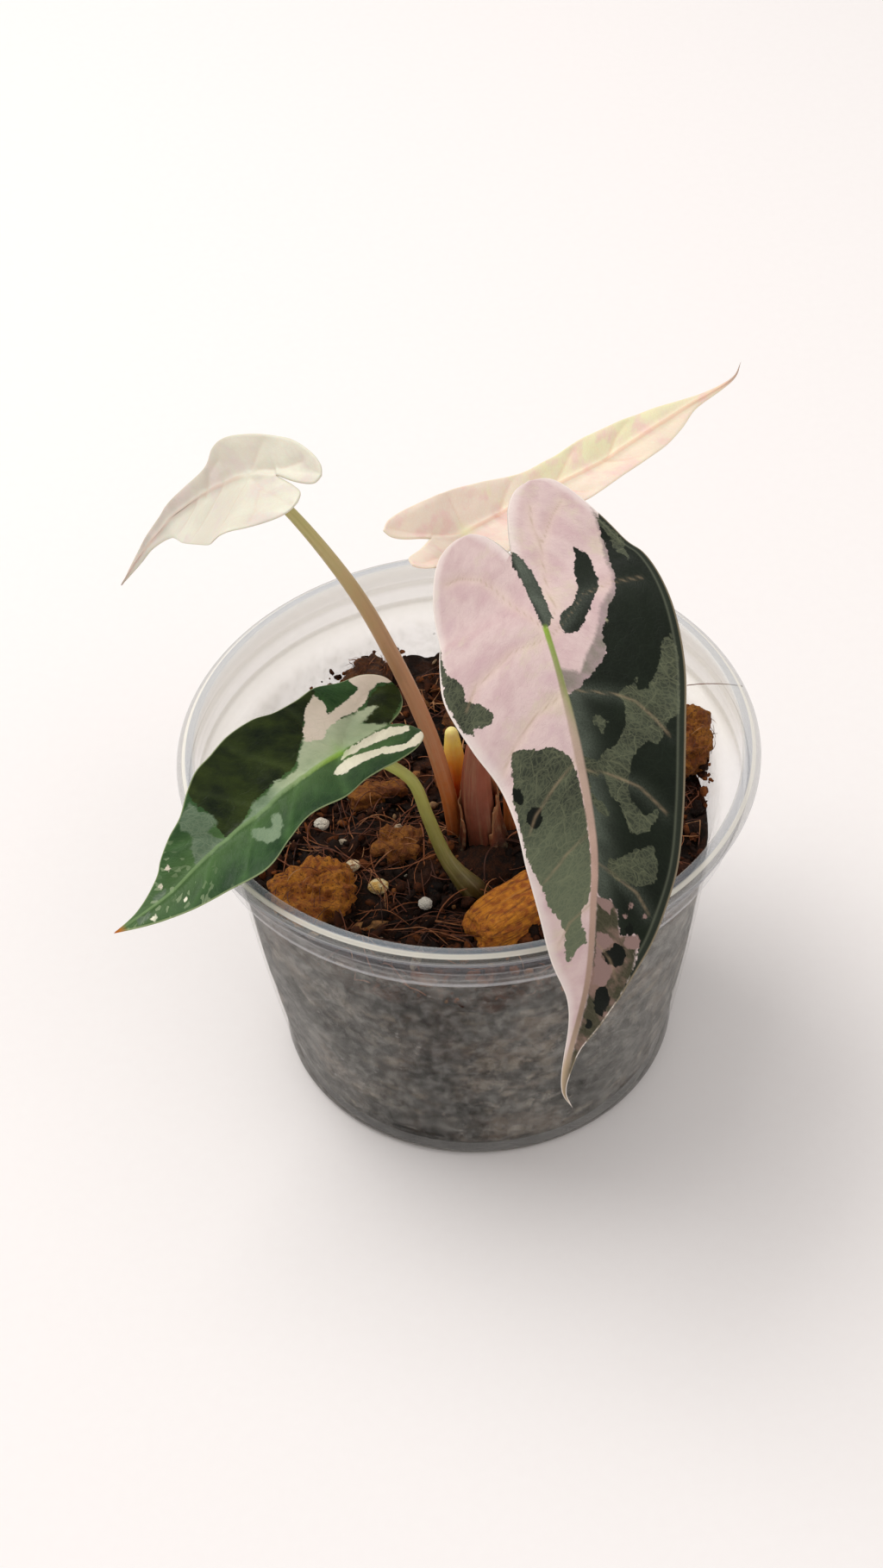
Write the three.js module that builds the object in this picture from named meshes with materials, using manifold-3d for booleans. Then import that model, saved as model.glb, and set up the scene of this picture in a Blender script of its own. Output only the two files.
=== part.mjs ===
// A small alocasia in a clear moulded cup of chunky potting mix.
// Millimetres, +Z up. The origin is the centre of the cup's flat foot, and -Y faces the viewer.
import * as THREE from "three";
import { mergeVertices } from "three/addons/utils/BufferGeometryUtils.js";
import Module from "manifold-3d";

const wasm = await Module();
wasm.setup();

// Cup: a thin moulded cup whose wide ring under the rim takes a lid
const CUP_HEIGHT = 82;
const RIM_RADIUS = 58.5;
const RING_RADIUS = 56;
const FOOT_RADIUS = 41;
const WALL = 0.9;
const FLOOR = 1.2;
const CUP_SIDES = 60;
const DRAIN_HOLES = 5;
const DRAIN_RADIUS = 2;
const DRAIN_CIRCLE = 26;

// Potting mix
const MIX_TOP = 54.5;
const MIX_EDGE_RISE = 5.5;
const MIX_SIDES = 44;

// Clearance between pieces that touch
const GAP = 0.3;

// Leaf blades and stalks
const BLADE_THICKNESS = 0.8;
const BLADE_EDGE = 1.6; // the blade thins to its edge over this width
const BLADE_ROWS = 26;
const LOBE_ROWS = 6;
const BLADE_COLUMNS = [0, 0.16, 0.42, 0.7, 0.9, 1];
const STALK_SIDES = 10;

// Each spine point is x, y, z in mm, then how far the left and right sides lift at foldWidth.
// Outlines are [a, b]: a runs along the midrib from the stalk, b across it, left side negative.
const LEAVES = {
  front: {
    stalkAt: 2,
    facing: [0, -0.6, 0.8],
    foldWidth: 20,
    wave: [0.7, 31, 0.4],
    spine: [
      [9.1, -8, 136.6, 2.4, 2.4],
      [11.7, -16, 133.6, 1.2, 1.2],
      [14.4, -24, 132.5, 0.4, 0.4],
      [18, -41, 124.1, 1.2, 1.2],
      [20.5, -56, 111.1, 2, 2],
      [20, -63.5, 100.3, 2.2, 2],
      [18.6, -68.5, 86.3, 1.4, 1.6],
      [15.3, -71, 69.4, 0, 0.4],
      [14.2, -70.5, 58, 0, 0],
      [15.9, -69, 50.3, 0, 0],
    ],
    leftNotch: [[-24, -5.3], [-22.6, -3.1], [-20.2, -1.3], [-17.5, 0]],
    rightNotch: [[-30, 8], [-29.2, 5], [-26.5, 2.7], [-22.3, 1.2], [-17.5, 0]],
    left: [
      [-24, -5.3], [-23.4, -9], [-20.6, -12.8], [-15, -15.8], [-7.5, -18.2], [3, -20.5], [11, -21.2],
      [20, -18.4], [27.5, -15], [35, -13.3], [44, -12.2], [54, -9.5], [64, -6.8], [72, -3], [79, -1.4],
      [90, -0.8], [105, 0],
    ],
    right: [
      [-30, 8], [-28.9, 11.6], [-26, 14], [-20, 17], [-14, 19.4], [-7, 21.6], [2, 22.9],
      [13, 22.1], [24, 19.4], [36, 16.6], [47, 14.2], [57, 11.2], [67, 7.2], [77, 3.9], [84, 1.7],
      [92, 0.8], [105, 0],
    ],
  },
  left: {
    stalkAt: 1,
    facing: [0.1, -0.1, 1],
    foldWidth: 14,
    wave: [0.6, 24, 2.2],
    spine: [
      [-15.1, -8, 94.8, 4, 4],
      [-24.6, -15.5, 95.4, 4, 4],
      [-33.2, -22, 94.6, 4.6, 4.6],
      [-41.6, -28, 91.5, 5, 5],
      [-49.9, -34, 89, 5, 5],
      [-56.6, -39, 84.9, 4, 4],
      [-63.2, -43, 82.3, 2, 2],
      [-68.6, -46, 81, 0, 0],
    ],
    leftNotch: [[-18.9, -5.4], [-17.8, -3], [-15.6, -1.2], [-12.1, 0]],
    rightNotch: [[-15.6, 5], [-15, 3], [-13.8, 1.2], [-12.1, 0]],
    left: [
      [-18.9, -5.4], [-17.8, -9], [-14, -11.4], [-8, -12.6], [-1, -13.2], [6, -13], [13.5, -14.7],
      [20.5, -13.6], [28, -11.2], [35, -7.8], [43, -4.4], [50, -1.4], [56, 0],
    ],
    right: [
      [-15.6, 5], [-14.4, 7.3], [-10.6, 9.1], [-5, 9.8], [1, 9.2], [7, 10.2], [14, 8.9], [20, 10.5],
      [26, 12.2], [33, 10.7], [41, 6.8], [49, 3], [56, 0],
    ],
  },
  back_left: {
    stalkAt: 1,
    facing: [-0.05, -0.5, 0.85],
    foldWidth: 10,
    wave: [0.5, 19, 1.1],
    spine: [
      [-32.1, -3, 153.6, 3, 3],
      [-37.6, 0, 151.6, 3, 3],
      [-45.6, 4.5, 144.7, 3, 3],
      [-54.2, 9, 134.4, 3, 3],
      [-61.2, 12, 123.4, 2, 2],
      [-65.8, 13.5, 115.4, 0, 0],
    ],
    leftNotch: [[-15.9, -0.6], [-14.6, 1.1], [-11, 1], [-6.5, 0]],
    rightNotch: [[-13.2, 5], [-12.8, 3], [-10.6, 1.6], [-6.5, 0]],
    left: [
      [-15.9, -0.6], [-15.2, -2.7], [-12.6, -4.8], [-8, -6.7], [-2, -7.2], [4, -7.6], [7.6, -6.8],
      [11, -4.4], [18, -3.3], [27, -2.6], [38, -1.2], [48.4, 0],
    ],
    right: [
      [-13.2, 5], [-12, 7.6], [-8.6, 10.2], [-4.6, 12.8], [-1, 14.2], [4.5, 13.2], [11, 11],
      [19, 7.4], [26, 3.2], [33, 1.4], [41, 0.9], [48.4, 0],
    ],
  },
  back_right: {
    stalkAt: 1,
    facing: [0.1, -0.35, 0.93],
    foldWidth: 10,
    wave: [0.4, 27, 0.6],
    spine: [
      [-5.6, 2, 132.7, 3, 3],
      [1.4, 9, 128.2, 3, 3],
      [13.4, 19.5, 126.6, 3, 3],
      [26.5, 29, 125.8, 3, 3],
      [37.2, 37.5, 126.2, 3, 3],
      [48, 46, 126.9, 2, 2],
      [56.9, 53, 127.3, 0, 0],
      [59.3, 56.5, 129.3, 0, 0],
    ],
    leftNotch: [[-23.2, -6.2], [-21.4, -4], [-16, -2.2], [-10.9, 0]],
    rightNotch: [[-22.4, 3], [-20.6, 1.4], [-16, 0.4], [-10.9, 0]],
    left: [
      [-23.2, -6.2], [-21.6, -7.9], [-15, -8.9], [-6, -9.2], [4, -8.7], [15, -7.4], [26, -6.1],
      [36, -5.3], [47, -4.8], [54, -3.4], [60, -1.3], [67, -0.6], [75.8, 0],
    ],
    right: [
      [-22.4, 3], [-19.4, 5], [-13, 6.6], [-6, 7.8], [1, 8.2], [9, 7.1], [18, 5], [25, 5.2],
      [33, 5.9], [42, 5.3], [51, 3.9], [58, 2.2], [65, 0.9], [75.8, 0],
    ],
  },
};

// Each stalk point is x, y, z and the stalk's radius there.
const STALKS = {
  left: [
    [1.5, -15.5, 46, 3], [0.2, -16.9, 54, 4.2], [-3.5, -15.8, 60, 2.9], [-5.9, -14.4, 64, 2.3], [-8.8, -12.3, 73, 2],
    [-10.8, -11.6, 81, 1.8], [-13.5, -12.2, 86, 1.7], [-18, -14.2, 91.5, 1.6], [-24.6, -15.5, 95.4, 1.4],
  ],
  back_left: [
    [-3, 0, 45, 2], [-3.6, 0.2, 58, 2.2], [-5, 1, 69, 2.2], [-8.3, 2.8, 84, 2.2], [-14, 3.2, 103, 2.1],
    [-20.7, 2, 122, 1.8], [-30, 0.5, 141, 1.3], [-37.6, 0, 151.6, 1],
  ],
  front: [
    [3, -5, 46, 3.2], [2.2, -3.4, 58, 3.4], [1.4, -1, 68, 3], [1.9, -0.4, 78, 2.5], [4.6, -2.8, 92, 2.2],
    [9, -9, 108, 2], [12, -16, 122, 1.9], [14.4, -24, 132.5, 1.6],
  ],
  back_right: [
    [8.6, 0, 46, 2.4], [9.4, 2.6, 58, 2.6], [8.6, 5.6, 72, 2.3], [6.6, 8.6, 92, 2], [3.8, 9.8, 112, 1.7],
    [1.4, 9, 128.2, 1.3],
  ],
};
const NEW_SHOOT = [
  [-1.2, 4.2, 46, 1.9], [-2, 5, 58, 2.1], [-2.9, 5.8, 66, 1.8], [-3.5, 7, 71.5, 1.6], [-4, 8.4, 76.5, 0.7],
];
const CORM = { at: [2.5, -8, 47], size: [20, 25, 22] };

// Husk chips and perlite: centre, size, turn about Z and tilt in degrees
const HUSK_CHIPS = [
  { at: [-33.5, -17, 57.5], size: [20, 15, 10], turn: 25, tilt: 12 },
  { at: [10.5, -26.5, 56.2], size: [21, 10, 9], turn: 32, tilt: -14 },
  { at: [41, 9, 61], size: [9, 12, 9], turn: 12, tilt: 14 },
  { at: [-15.5, -3.6, 55.6], size: [11, 8, 6], turn: -10, tilt: 8 },
  { at: [-19, 11, 56.5], size: [13, 6, 5], turn: 15, tilt: -6 },
  { at: [-20, 39, 61.5], size: [11, 7, 7], turn: 30, tilt: 10 },
  { at: [25, -10, 56.5], size: [14, 9, 7], turn: -35, tilt: 8 },
  { at: [22, 24, 57.5], size: [16, 10, 7], turn: 50, tilt: -9 },
  { at: [-38, 14, 59.5], size: [12, 9, 7], turn: 80, tilt: 14 },
  { at: [2, 30, 58.5], size: [13, 8, 6], turn: -20, tilt: 10 },
];
const PERLITE = [
  { at: [-19.6, -15.6, 56.5], size: 4.4 },
  { at: [-24.6, -7.5, 56.8], size: 3.2 },
  { at: [-10.2, -20.4, 56], size: 3.4 },
  { at: [-31, 2.6, 56.8], size: 3.6 },
  { at: [33, 3, 57.5], size: 4 },
  { at: [8, 18, 56.8], size: 3.8 },
];

// Solids: a geometry as one closed manifold, and back
function solid(geometry) {
  const shape = geometry.clone();
  shape.deleteAttribute("normal");
  shape.deleteAttribute("uv");
  const merged = mergeVertices(shape, 1e-3);
  const kept = [];
  for (let i = 0; i < merged.index.count; i += 3) {
    const [p, q, r] = [0, 1, 2].map((k) => merged.index.getX(i + k));
    if (p !== q && q !== r && r !== p) kept.push(p, q, r);
  }
  const made = new wasm.Manifold(
    new wasm.Mesh({
      numProp: 3,
      vertProperties: new Float32Array(merged.attributes.position.array),
      triVerts: new Uint32Array(kept),
    }),
  );
  if (made.volume() > 0) return made;
  for (let i = 0; i < kept.length; i += 3) [kept[i], kept[i + 1]] = [kept[i + 1], kept[i]];
  return new wasm.Manifold(
    new wasm.Mesh({
      numProp: 3,
      vertProperties: new Float32Array(merged.attributes.position.array),
      triVerts: new Uint32Array(kept),
    }),
  );
}

// The largest body of a cut solid, as three.js geometry
function geometryOf(cut) {
  const whole = cut.decompose().sort((p, q) => q.volume() - p.volume())[0];
  const mesh = whole.getMesh();
  const geometry = new THREE.BufferGeometry();
  geometry.setAttribute("position", new THREE.BufferAttribute(new Float32Array(mesh.vertProperties), 3));
  geometry.setIndex(new THREE.BufferAttribute(new Uint32Array(mesh.triVerts), 1));
  geometry.computeVertexNormals();
  return geometry;
}

const group = new THREE.Group();

function addPiece(name, shape, color, roughness) {
  const material = new THREE.MeshStandardMaterial({ color, roughness, metalness: 0 });
  const mesh = new THREE.Mesh(geometryOf(shape), material);
  mesh.name = name;
  group.add(mesh);
}

// Cup: one moulded wall from the centre of the foot, up over the rim and back down inside
const step = CUP_HEIGHT - 12; // the ring's lower edge
const OUTSIDE = [
  [FOOT_RADIUS, 0],
  [FOOT_RADIUS + 1.5, 1.2],
  [42.9, 6],
  [46.5, 30],
  [50, 62],
  [50.8, step - 2],
  [52.6, step - 0.6],
  [54.9, step + 0.2],
  [RING_RADIUS - 0.7, step + 1.6],
  [RING_RADIUS - 0.3, step + 5],
  [RING_RADIUS + 0.6, step + 6],
  [RING_RADIUS - 0.2, step + 7],
  [RING_RADIUS, CUP_HEIGHT - 3],
  [RIM_RADIUS - 0.5, CUP_HEIGHT - 2.4],
  [RIM_RADIUS, CUP_HEIGHT - 1.6],
  [RIM_RADIUS - 0.5, CUP_HEIGHT - 0.9],
  [57.2, CUP_HEIGHT - 0.7],
  [56.7, CUP_HEIGHT],
];
const INSIDE = [
  [55, CUP_HEIGHT],
  [54.6, CUP_HEIGHT - 0.8],
  [RING_RADIUS - WALL - 0.2, CUP_HEIGHT - 5],
  [RING_RADIUS - WALL - 0.8, step + 2],
  [54.1, step + 1.1],
  [52.1, step + 0.3],
  [50, step - 1.4],
  [50 - WALL, 62],
  [46.5 - WALL, 30],
  [42.9 - WALL, 6],
  [FOOT_RADIUS, FLOOR + 1.4],
  [FOOT_RADIUS - 1.4, FLOOR],
];

function insideRadius(z) {
  const wall = INSIDE.slice(6).reverse();
  const above = Math.max(1, wall.findIndex(([, height]) => height >= z));
  const [[r0, z0], [r1, z1]] = [wall[above - 1], wall[above]];
  return r0 + ((r1 - r0) * (z - z0)) / (z1 - z0);
}

function turned(profile, sides) {
  const points = profile.map(([r, z]) => new THREE.Vector2(r, z));
  return new THREE.LatheGeometry(points, sides).rotateX(Math.PI / 2);
}

function cup() {
  let made = solid(turned([[0, 0], ...OUTSIDE, ...INSIDE, [0, FLOOR]], CUP_SIDES));
  for (let i = 0; i < DRAIN_HOLES; i++) {
    const angle = (2 * Math.PI * (i + 0.25)) / DRAIN_HOLES;
    const hole = new THREE.CylinderGeometry(DRAIN_RADIUS, DRAIN_RADIUS, 4 * FLOOR, 14).rotateX(Math.PI / 2);
    hole.translate(DRAIN_CIRCLE * Math.cos(angle), DRAIN_CIRCLE * Math.sin(angle), FLOOR / 2);
    made = made.subtract(solid(hole));
  }
  return made;
}

// The mix's top: a shallow bowl, higher at the sides and back, with small humps
function mixHeight(x, y) {
  const out = Math.hypot(x, y) / insideRadius(MIX_TOP);
  const rim = THREE.MathUtils.smoothstep(out, 0.45, 1);
  const away = 0.5 + (0.5 * y) / Math.max(1, Math.hypot(x, y));
  const humps = Math.sin(0.31 * x + 1) * Math.sin(0.27 * y) + 0.6 * Math.sin(0.55 * x - 0.4 * y + 2);
  return MIX_TOP + MIX_EDGE_RISE * rim * (0.25 + 0.75 * away) + 0.7 * humps;
}

function mix() {
  const heights = [FLOOR + GAP, 6, 30, MIX_TOP];
  const side = heights.map((z) => [insideRadius(z) - GAP, z]);
  side[0][0] = FOOT_RADIUS - 2;
  const top = [46, 38, 29, 19, 9].map((r) => [r, MIX_TOP]);
  const shape = turned([[0, heights[0]], ...side, ...top, [0, MIX_TOP]], MIX_SIDES);
  const points = shape.attributes.position;
  for (let i = 0; i < points.count; i++) {
    const [x, y, z] = [points.getX(i), points.getY(i), points.getZ(i)];
    if (z < MIX_TOP - 1) continue;
    points.setZ(i, mixHeight(x, y));
  }
  return solid(shape);
}

// A round body bent along a path: a turned profile whose rings follow the curve
function bent(rows, grow = 0) {
  const path = new THREE.CatmullRomCurve3(
    rows.map(([x, y, z]) => new THREE.Vector3(x, y, z)),
    false,
    "catmullrom",
    0.5,
  );
  const steps = 2 * (rows.length - 1);
  const rings = steps + 1;
  const radii = new THREE.CatmullRomCurve3(
    rows.map((row) => new THREE.Vector3(row[3], 0, 0)),
    false,
    "catmullrom",
    0.5,
  );
  const frames = path.computeFrenetFrames(400);
  const length = path.getLength();
  const profile = [new THREE.Vector2(0, 0)];
  for (let i = 0; i < rings; i++) profile.push(new THREE.Vector2(1, (length * i) / steps));
  profile.push(new THREE.Vector2(0, length));
  const shape = new THREE.LatheGeometry(profile, STALK_SIDES);
  const points = shape.attributes.position;
  for (let i = 0; i < points.count; i++) {
    const share = THREE.MathUtils.clamp(points.getY(i) / length, 0, 1);
    const at = path.getPointAt(share);
    const t = path.getUtoTmapping(share);
    const radius = radii.getPoint(t).x + grow;
    const frame = Math.round(400 * share);
    at.addScaledVector(frames.normals[frame], radius * points.getX(i));
    at.addScaledVector(frames.binormals[frame], radius * points.getZ(i));
    points.setXYZ(i, at.x, at.y, at.z);
  }
  return solid(shape);
}

// A blade's surface: a point (a, b) lies b along the cross direction from the midrib point at a,
// lifted along the normal by the fold, which grows as |b| to the power 1.6, and by the edge wave
function bladeSurface({ spine, stalkAt, facing, foldWidth, wave }) {
  const curveOf = (rows) => new THREE.CatmullRomCurve3(
    rows.map(([x, y, z]) => new THREE.Vector3(x, y, z)),
    false,
    "catmullrom",
    0.5,
  );
  const midrib = curveOf(spine);
  const lifts = curveOf(spine.map((row) => [row[3], row[4], 0]));
  const samples = 400;
  midrib.arcLengthDivisions = samples;
  const lengths = midrib.getLengths(samples);
  const stalkLength = lengths[Math.round((samples * stalkAt) / (spine.length - 1))];
  const total = lengths[samples];
  const face = new THREE.Vector3(...facing);
  const [waveHeight, waveLength, wavePhase] = wave;
  const place = (a, b, lift) => {
    const along = THREE.MathUtils.clamp((a + stalkLength) / total, 0, 1);
    const beyond = a + stalkLength - along * total;
    const tangent = midrib.getTangentAt(along);
    const normal = face.clone().addScaledVector(tangent, -face.dot(tangent)).normalize();
    const across = normal.clone().cross(tangent);
    const fold = lifts.getPoint(midrib.getUtoTmapping(along));
    const out = Math.abs(b) / foldWidth;
    const ripple = waveHeight * out * out * Math.sin((2 * Math.PI * a) / waveLength + wavePhase + Math.sign(b));
    const height = (b < 0 ? fold.x : fold.y) * Math.pow(out, 1.6) + ripple + lift;
    return midrib
      .getPointAt(along)
      .addScaledVector(tangent, beyond)
      .addScaledVector(across, b)
      .addScaledVector(normal, height);
  };
  return { place, tip: total - stalkLength };
}

// Even steps along an outline of [a, b] points
function stepsAlong(outline, count) {
  const curve = new THREE.CatmullRomCurve3(
    outline.map(([a, b]) => new THREE.Vector3(a, b, 0)),
    false,
    "catmullrom",
    0.5,
  );
  return curve.getSpacedPoints(count);
}

// A blade: each half is ruled from the notch and midrib out to its edge, with a top and an underside
function blade(leaf, grow = 0) {
  const { place, tip } = bladeSurface(leaf);
  const positions = [];
  const faces = [];
  for (const [notch, outline, side] of [
    [leaf.leftNotch, leaf.left, -1],
    [leaf.rightNotch, leaf.right, 1],
  ]) {
    const inner = stepsAlong(notch, LOBE_ROWS);
    const mouth = notch[notch.length - 1][0];
    const ribRows = BLADE_ROWS - LOBE_ROWS;
    for (let i = 1; i <= ribRows; i++) {
      inner.push(new THREE.Vector3(mouth + ((tip - mouth) * i) / ribRows, 0, 0));
    }
    const outer = stepsAlong([...outline.slice(0, -1), [tip, 0]], BLADE_ROWS);
    const first = positions.length / 3;
    const columns = BLADE_COLUMNS.length;
    inner.forEach((from, i) => {
      const width = from.distanceTo(outer[i]);
      BLADE_COLUMNS.forEach((share) => {
        const at = from.clone().lerp(outer[i], share);
        const toNotch = i <= LOBE_ROWS ? share * width : width;
        const toMouth = from.x - mouth;
        const onRib = Math.max(0, Math.min(toMouth, tip - from.x));
        const fromEdge = share ? Math.min((1 - share) * width, Math.max(toNotch, toMouth)) : onRib;
        const thin = Math.min(1, fromEdge / BLADE_EDGE);
        const half = (thin * (BLADE_THICKNESS + grow)) / 2;
        for (const lift of [half, -half]) positions.push(...place(at.x, at.y, lift).toArray());
      });
    });
    for (let i = 0; i < BLADE_ROWS; i++) {
      for (let j = 0; j < columns - 1; j++) {
        const at = (row, column, layer) => first + 2 * (row * columns + column) + layer;
        for (const layer of [0, 1]) {
          const quad = [at(i, j, layer), at(i + 1, j, layer), at(i + 1, j + 1, layer), at(i, j + 1, layer)];
          if ((side > 0) !== (layer === 0)) quad.reverse();
          faces.push(quad[0], quad[1], quad[2], quad[0], quad[2], quad[3]);
        }
      }
    }
  }
  const shape = new THREE.BufferGeometry();
  shape.setAttribute("position", new THREE.BufferAttribute(new Float32Array(positions), 3));
  shape.setIndex(faces);
  return solid(shape);
}

// A lump: a shape whose corners are pushed in or out by a fixed pattern, then turned and placed
function lump(shape, { at, turn = 0, tilt = 0 }, roughness) {
  const points = shape.attributes.position;
  for (let i = 0; i < points.count; i++) {
    const [x, y, z] = [points.getX(i), points.getY(i), points.getZ(i)];
    const push = 1 + roughness * Math.sin(1.7 * x + 2.3 * y + 2.9 * z + at[0]);
    points.setXYZ(i, x * push, y * push, z * push);
  }
  shape.rotateX(THREE.MathUtils.degToRad(tilt));
  shape.rotateZ(THREE.MathUtils.degToRad(turn));
  shape.translate(...at);
  return solid(shape);
}

function huskChip(chip, grow = 0) {
  const box = new THREE.BoxGeometry(...chip.size, 2, 2, 2);
  const points = box.attributes.position;
  const [w, d, h] = chip.size.map((side) => side / 2);
  for (let i = 0; i < points.count; i++) {
    const [x, y, z] = [points.getX(i) / w, points.getY(i) / d, points.getZ(i) / h];
    const round = 1.12 / Math.max(1, Math.hypot(x, y, z));
    points.setXYZ(i, x * w * round, y * d * round, z * h * round);
  }
  const shape = lump(box, chip, 0.07);
  if (!grow) return shape;
  const bigger = chip.size.map((side) => (side + 2 * grow) / side);
  return scaledAbout(shape, chip.at, bigger);
}

function perliteGrain(grain, grow = 0) {
  const shape = lump(new THREE.IcosahedronGeometry(grain.size / 2, 0), grain, 0.12);
  if (!grow) return shape;
  return scaledAbout(shape, grain.at, Array(3).fill((grain.size + 2 * grow) / grain.size));
}

function corm(grow = 0) {
  const sphere = new THREE.IcosahedronGeometry(0.5, 3);
  sphere.scale(...CORM.size.map((side) => side + 2 * grow));
  return lump(sphere, CORM, 0.02);
}

function scaledAbout(shape, centre, scale) {
  const away = centre.map((value) => -value);
  return shape.translate(away).scale(scale).translate(centre);
}

// Pieces, each seated in its neighbour with the clearance
const clearance = 1.6 * GAP;
const seatedStalks = Object.entries(STALKS).map(([name, rows]) => [name, bent(rows), bent(rows, GAP)]);
const shoot = bent(NEW_SHOOT);
let cormBody = corm();
for (const [, , socket] of seatedStalks) cormBody = cormBody.subtract(socket);
cormBody = cormBody.subtract(bent(NEW_SHOOT, GAP));

let mixBody = mix().subtract(corm(clearance)).subtract(bent(NEW_SHOOT, GAP));
for (const [, , socket] of seatedStalks) mixBody = mixBody.subtract(socket);
for (const chip of HUSK_CHIPS) mixBody = mixBody.subtract(huskChip(chip, clearance));
for (const grain of PERLITE) mixBody = mixBody.subtract(perliteGrain(grain, clearance));

addPiece("pot", cup(), "#dfe3e6", 0.3);
addPiece("potting_mix", mixBody, "#33241b", 0.95);
addPiece("corm", cormBody, "#4a3326", 0.8);
addPiece("new_shoot", shoot, "#d9c25a", 0.45);
const STALK_COLOURS = { left: "#9aa04e", back_left: "#a8795a", front: "#8f4a44", back_right: "#b07a62" };
for (const [name, stalk] of seatedStalks) {
  const body = stalk.subtract(blade(LEAVES[name], 2 * GAP));
  addPiece(`${name}_leaf_stalk`, body, STALK_COLOURS[name], 0.45);
}
const BLADE_COLOURS = { front: "#c9a9ad", left: "#23452f", back_left: "#e6e2d4", back_right: "#ecd9c6" };
for (const [name, leaf] of Object.entries(LEAVES)) {
  addPiece(`${name}_leaf_blade`, blade(leaf), BLADE_COLOURS[name], 0.4);
}
HUSK_CHIPS.forEach((chip, i) => addPiece(`husk_chip_${i + 1}`, huskChip(chip), "#8a4f24", 0.9));
PERLITE.forEach((grain, i) => addPiece(`perlite_grain_${i + 1}`, perliteGrain(grain), "#ded9cf", 0.85));

export default group;
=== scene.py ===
"""A potted bambino alocasia: the finished looks of the plant, its mix and its clear cup.

Metres, +Z up, the origin at the centre of the cup's foot, -Y towards the viewer.
The tables below are in millimetres; make_piece() turns them into metres.
"""

import math

import bpy
import numpy as np
from mathutils import Matrix


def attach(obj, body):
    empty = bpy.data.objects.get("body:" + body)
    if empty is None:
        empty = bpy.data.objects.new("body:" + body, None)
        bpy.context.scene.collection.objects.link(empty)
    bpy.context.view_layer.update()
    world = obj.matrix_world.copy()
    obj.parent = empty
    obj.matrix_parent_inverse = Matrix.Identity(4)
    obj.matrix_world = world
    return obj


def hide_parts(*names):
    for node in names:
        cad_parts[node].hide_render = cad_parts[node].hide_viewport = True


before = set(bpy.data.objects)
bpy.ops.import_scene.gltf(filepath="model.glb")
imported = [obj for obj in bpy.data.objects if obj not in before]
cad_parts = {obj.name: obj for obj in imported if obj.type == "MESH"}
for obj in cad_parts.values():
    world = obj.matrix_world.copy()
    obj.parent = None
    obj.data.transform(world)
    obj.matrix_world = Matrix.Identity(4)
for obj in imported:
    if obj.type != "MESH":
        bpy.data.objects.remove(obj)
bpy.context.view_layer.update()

MM = 0.001
rng = np.random.default_rng(11)

# Cup and mix sizes; GAP is the space between the two
CUP_HEIGHT = 82
RIM_RADIUS = 58.5
RING_RADIUS = 56
FOOT_RADIUS = 41
WALL = 0.55
FLOOR = 1.2
STEP = CUP_HEIGHT - 12
DRAIN_HOLES = 5
DRAIN_RADIUS = 2
DRAIN_CIRCLE = 26
MIX_TOP = 54.5
MIX_EDGE_RISE = 5.5
GAP = 0.12

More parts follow.
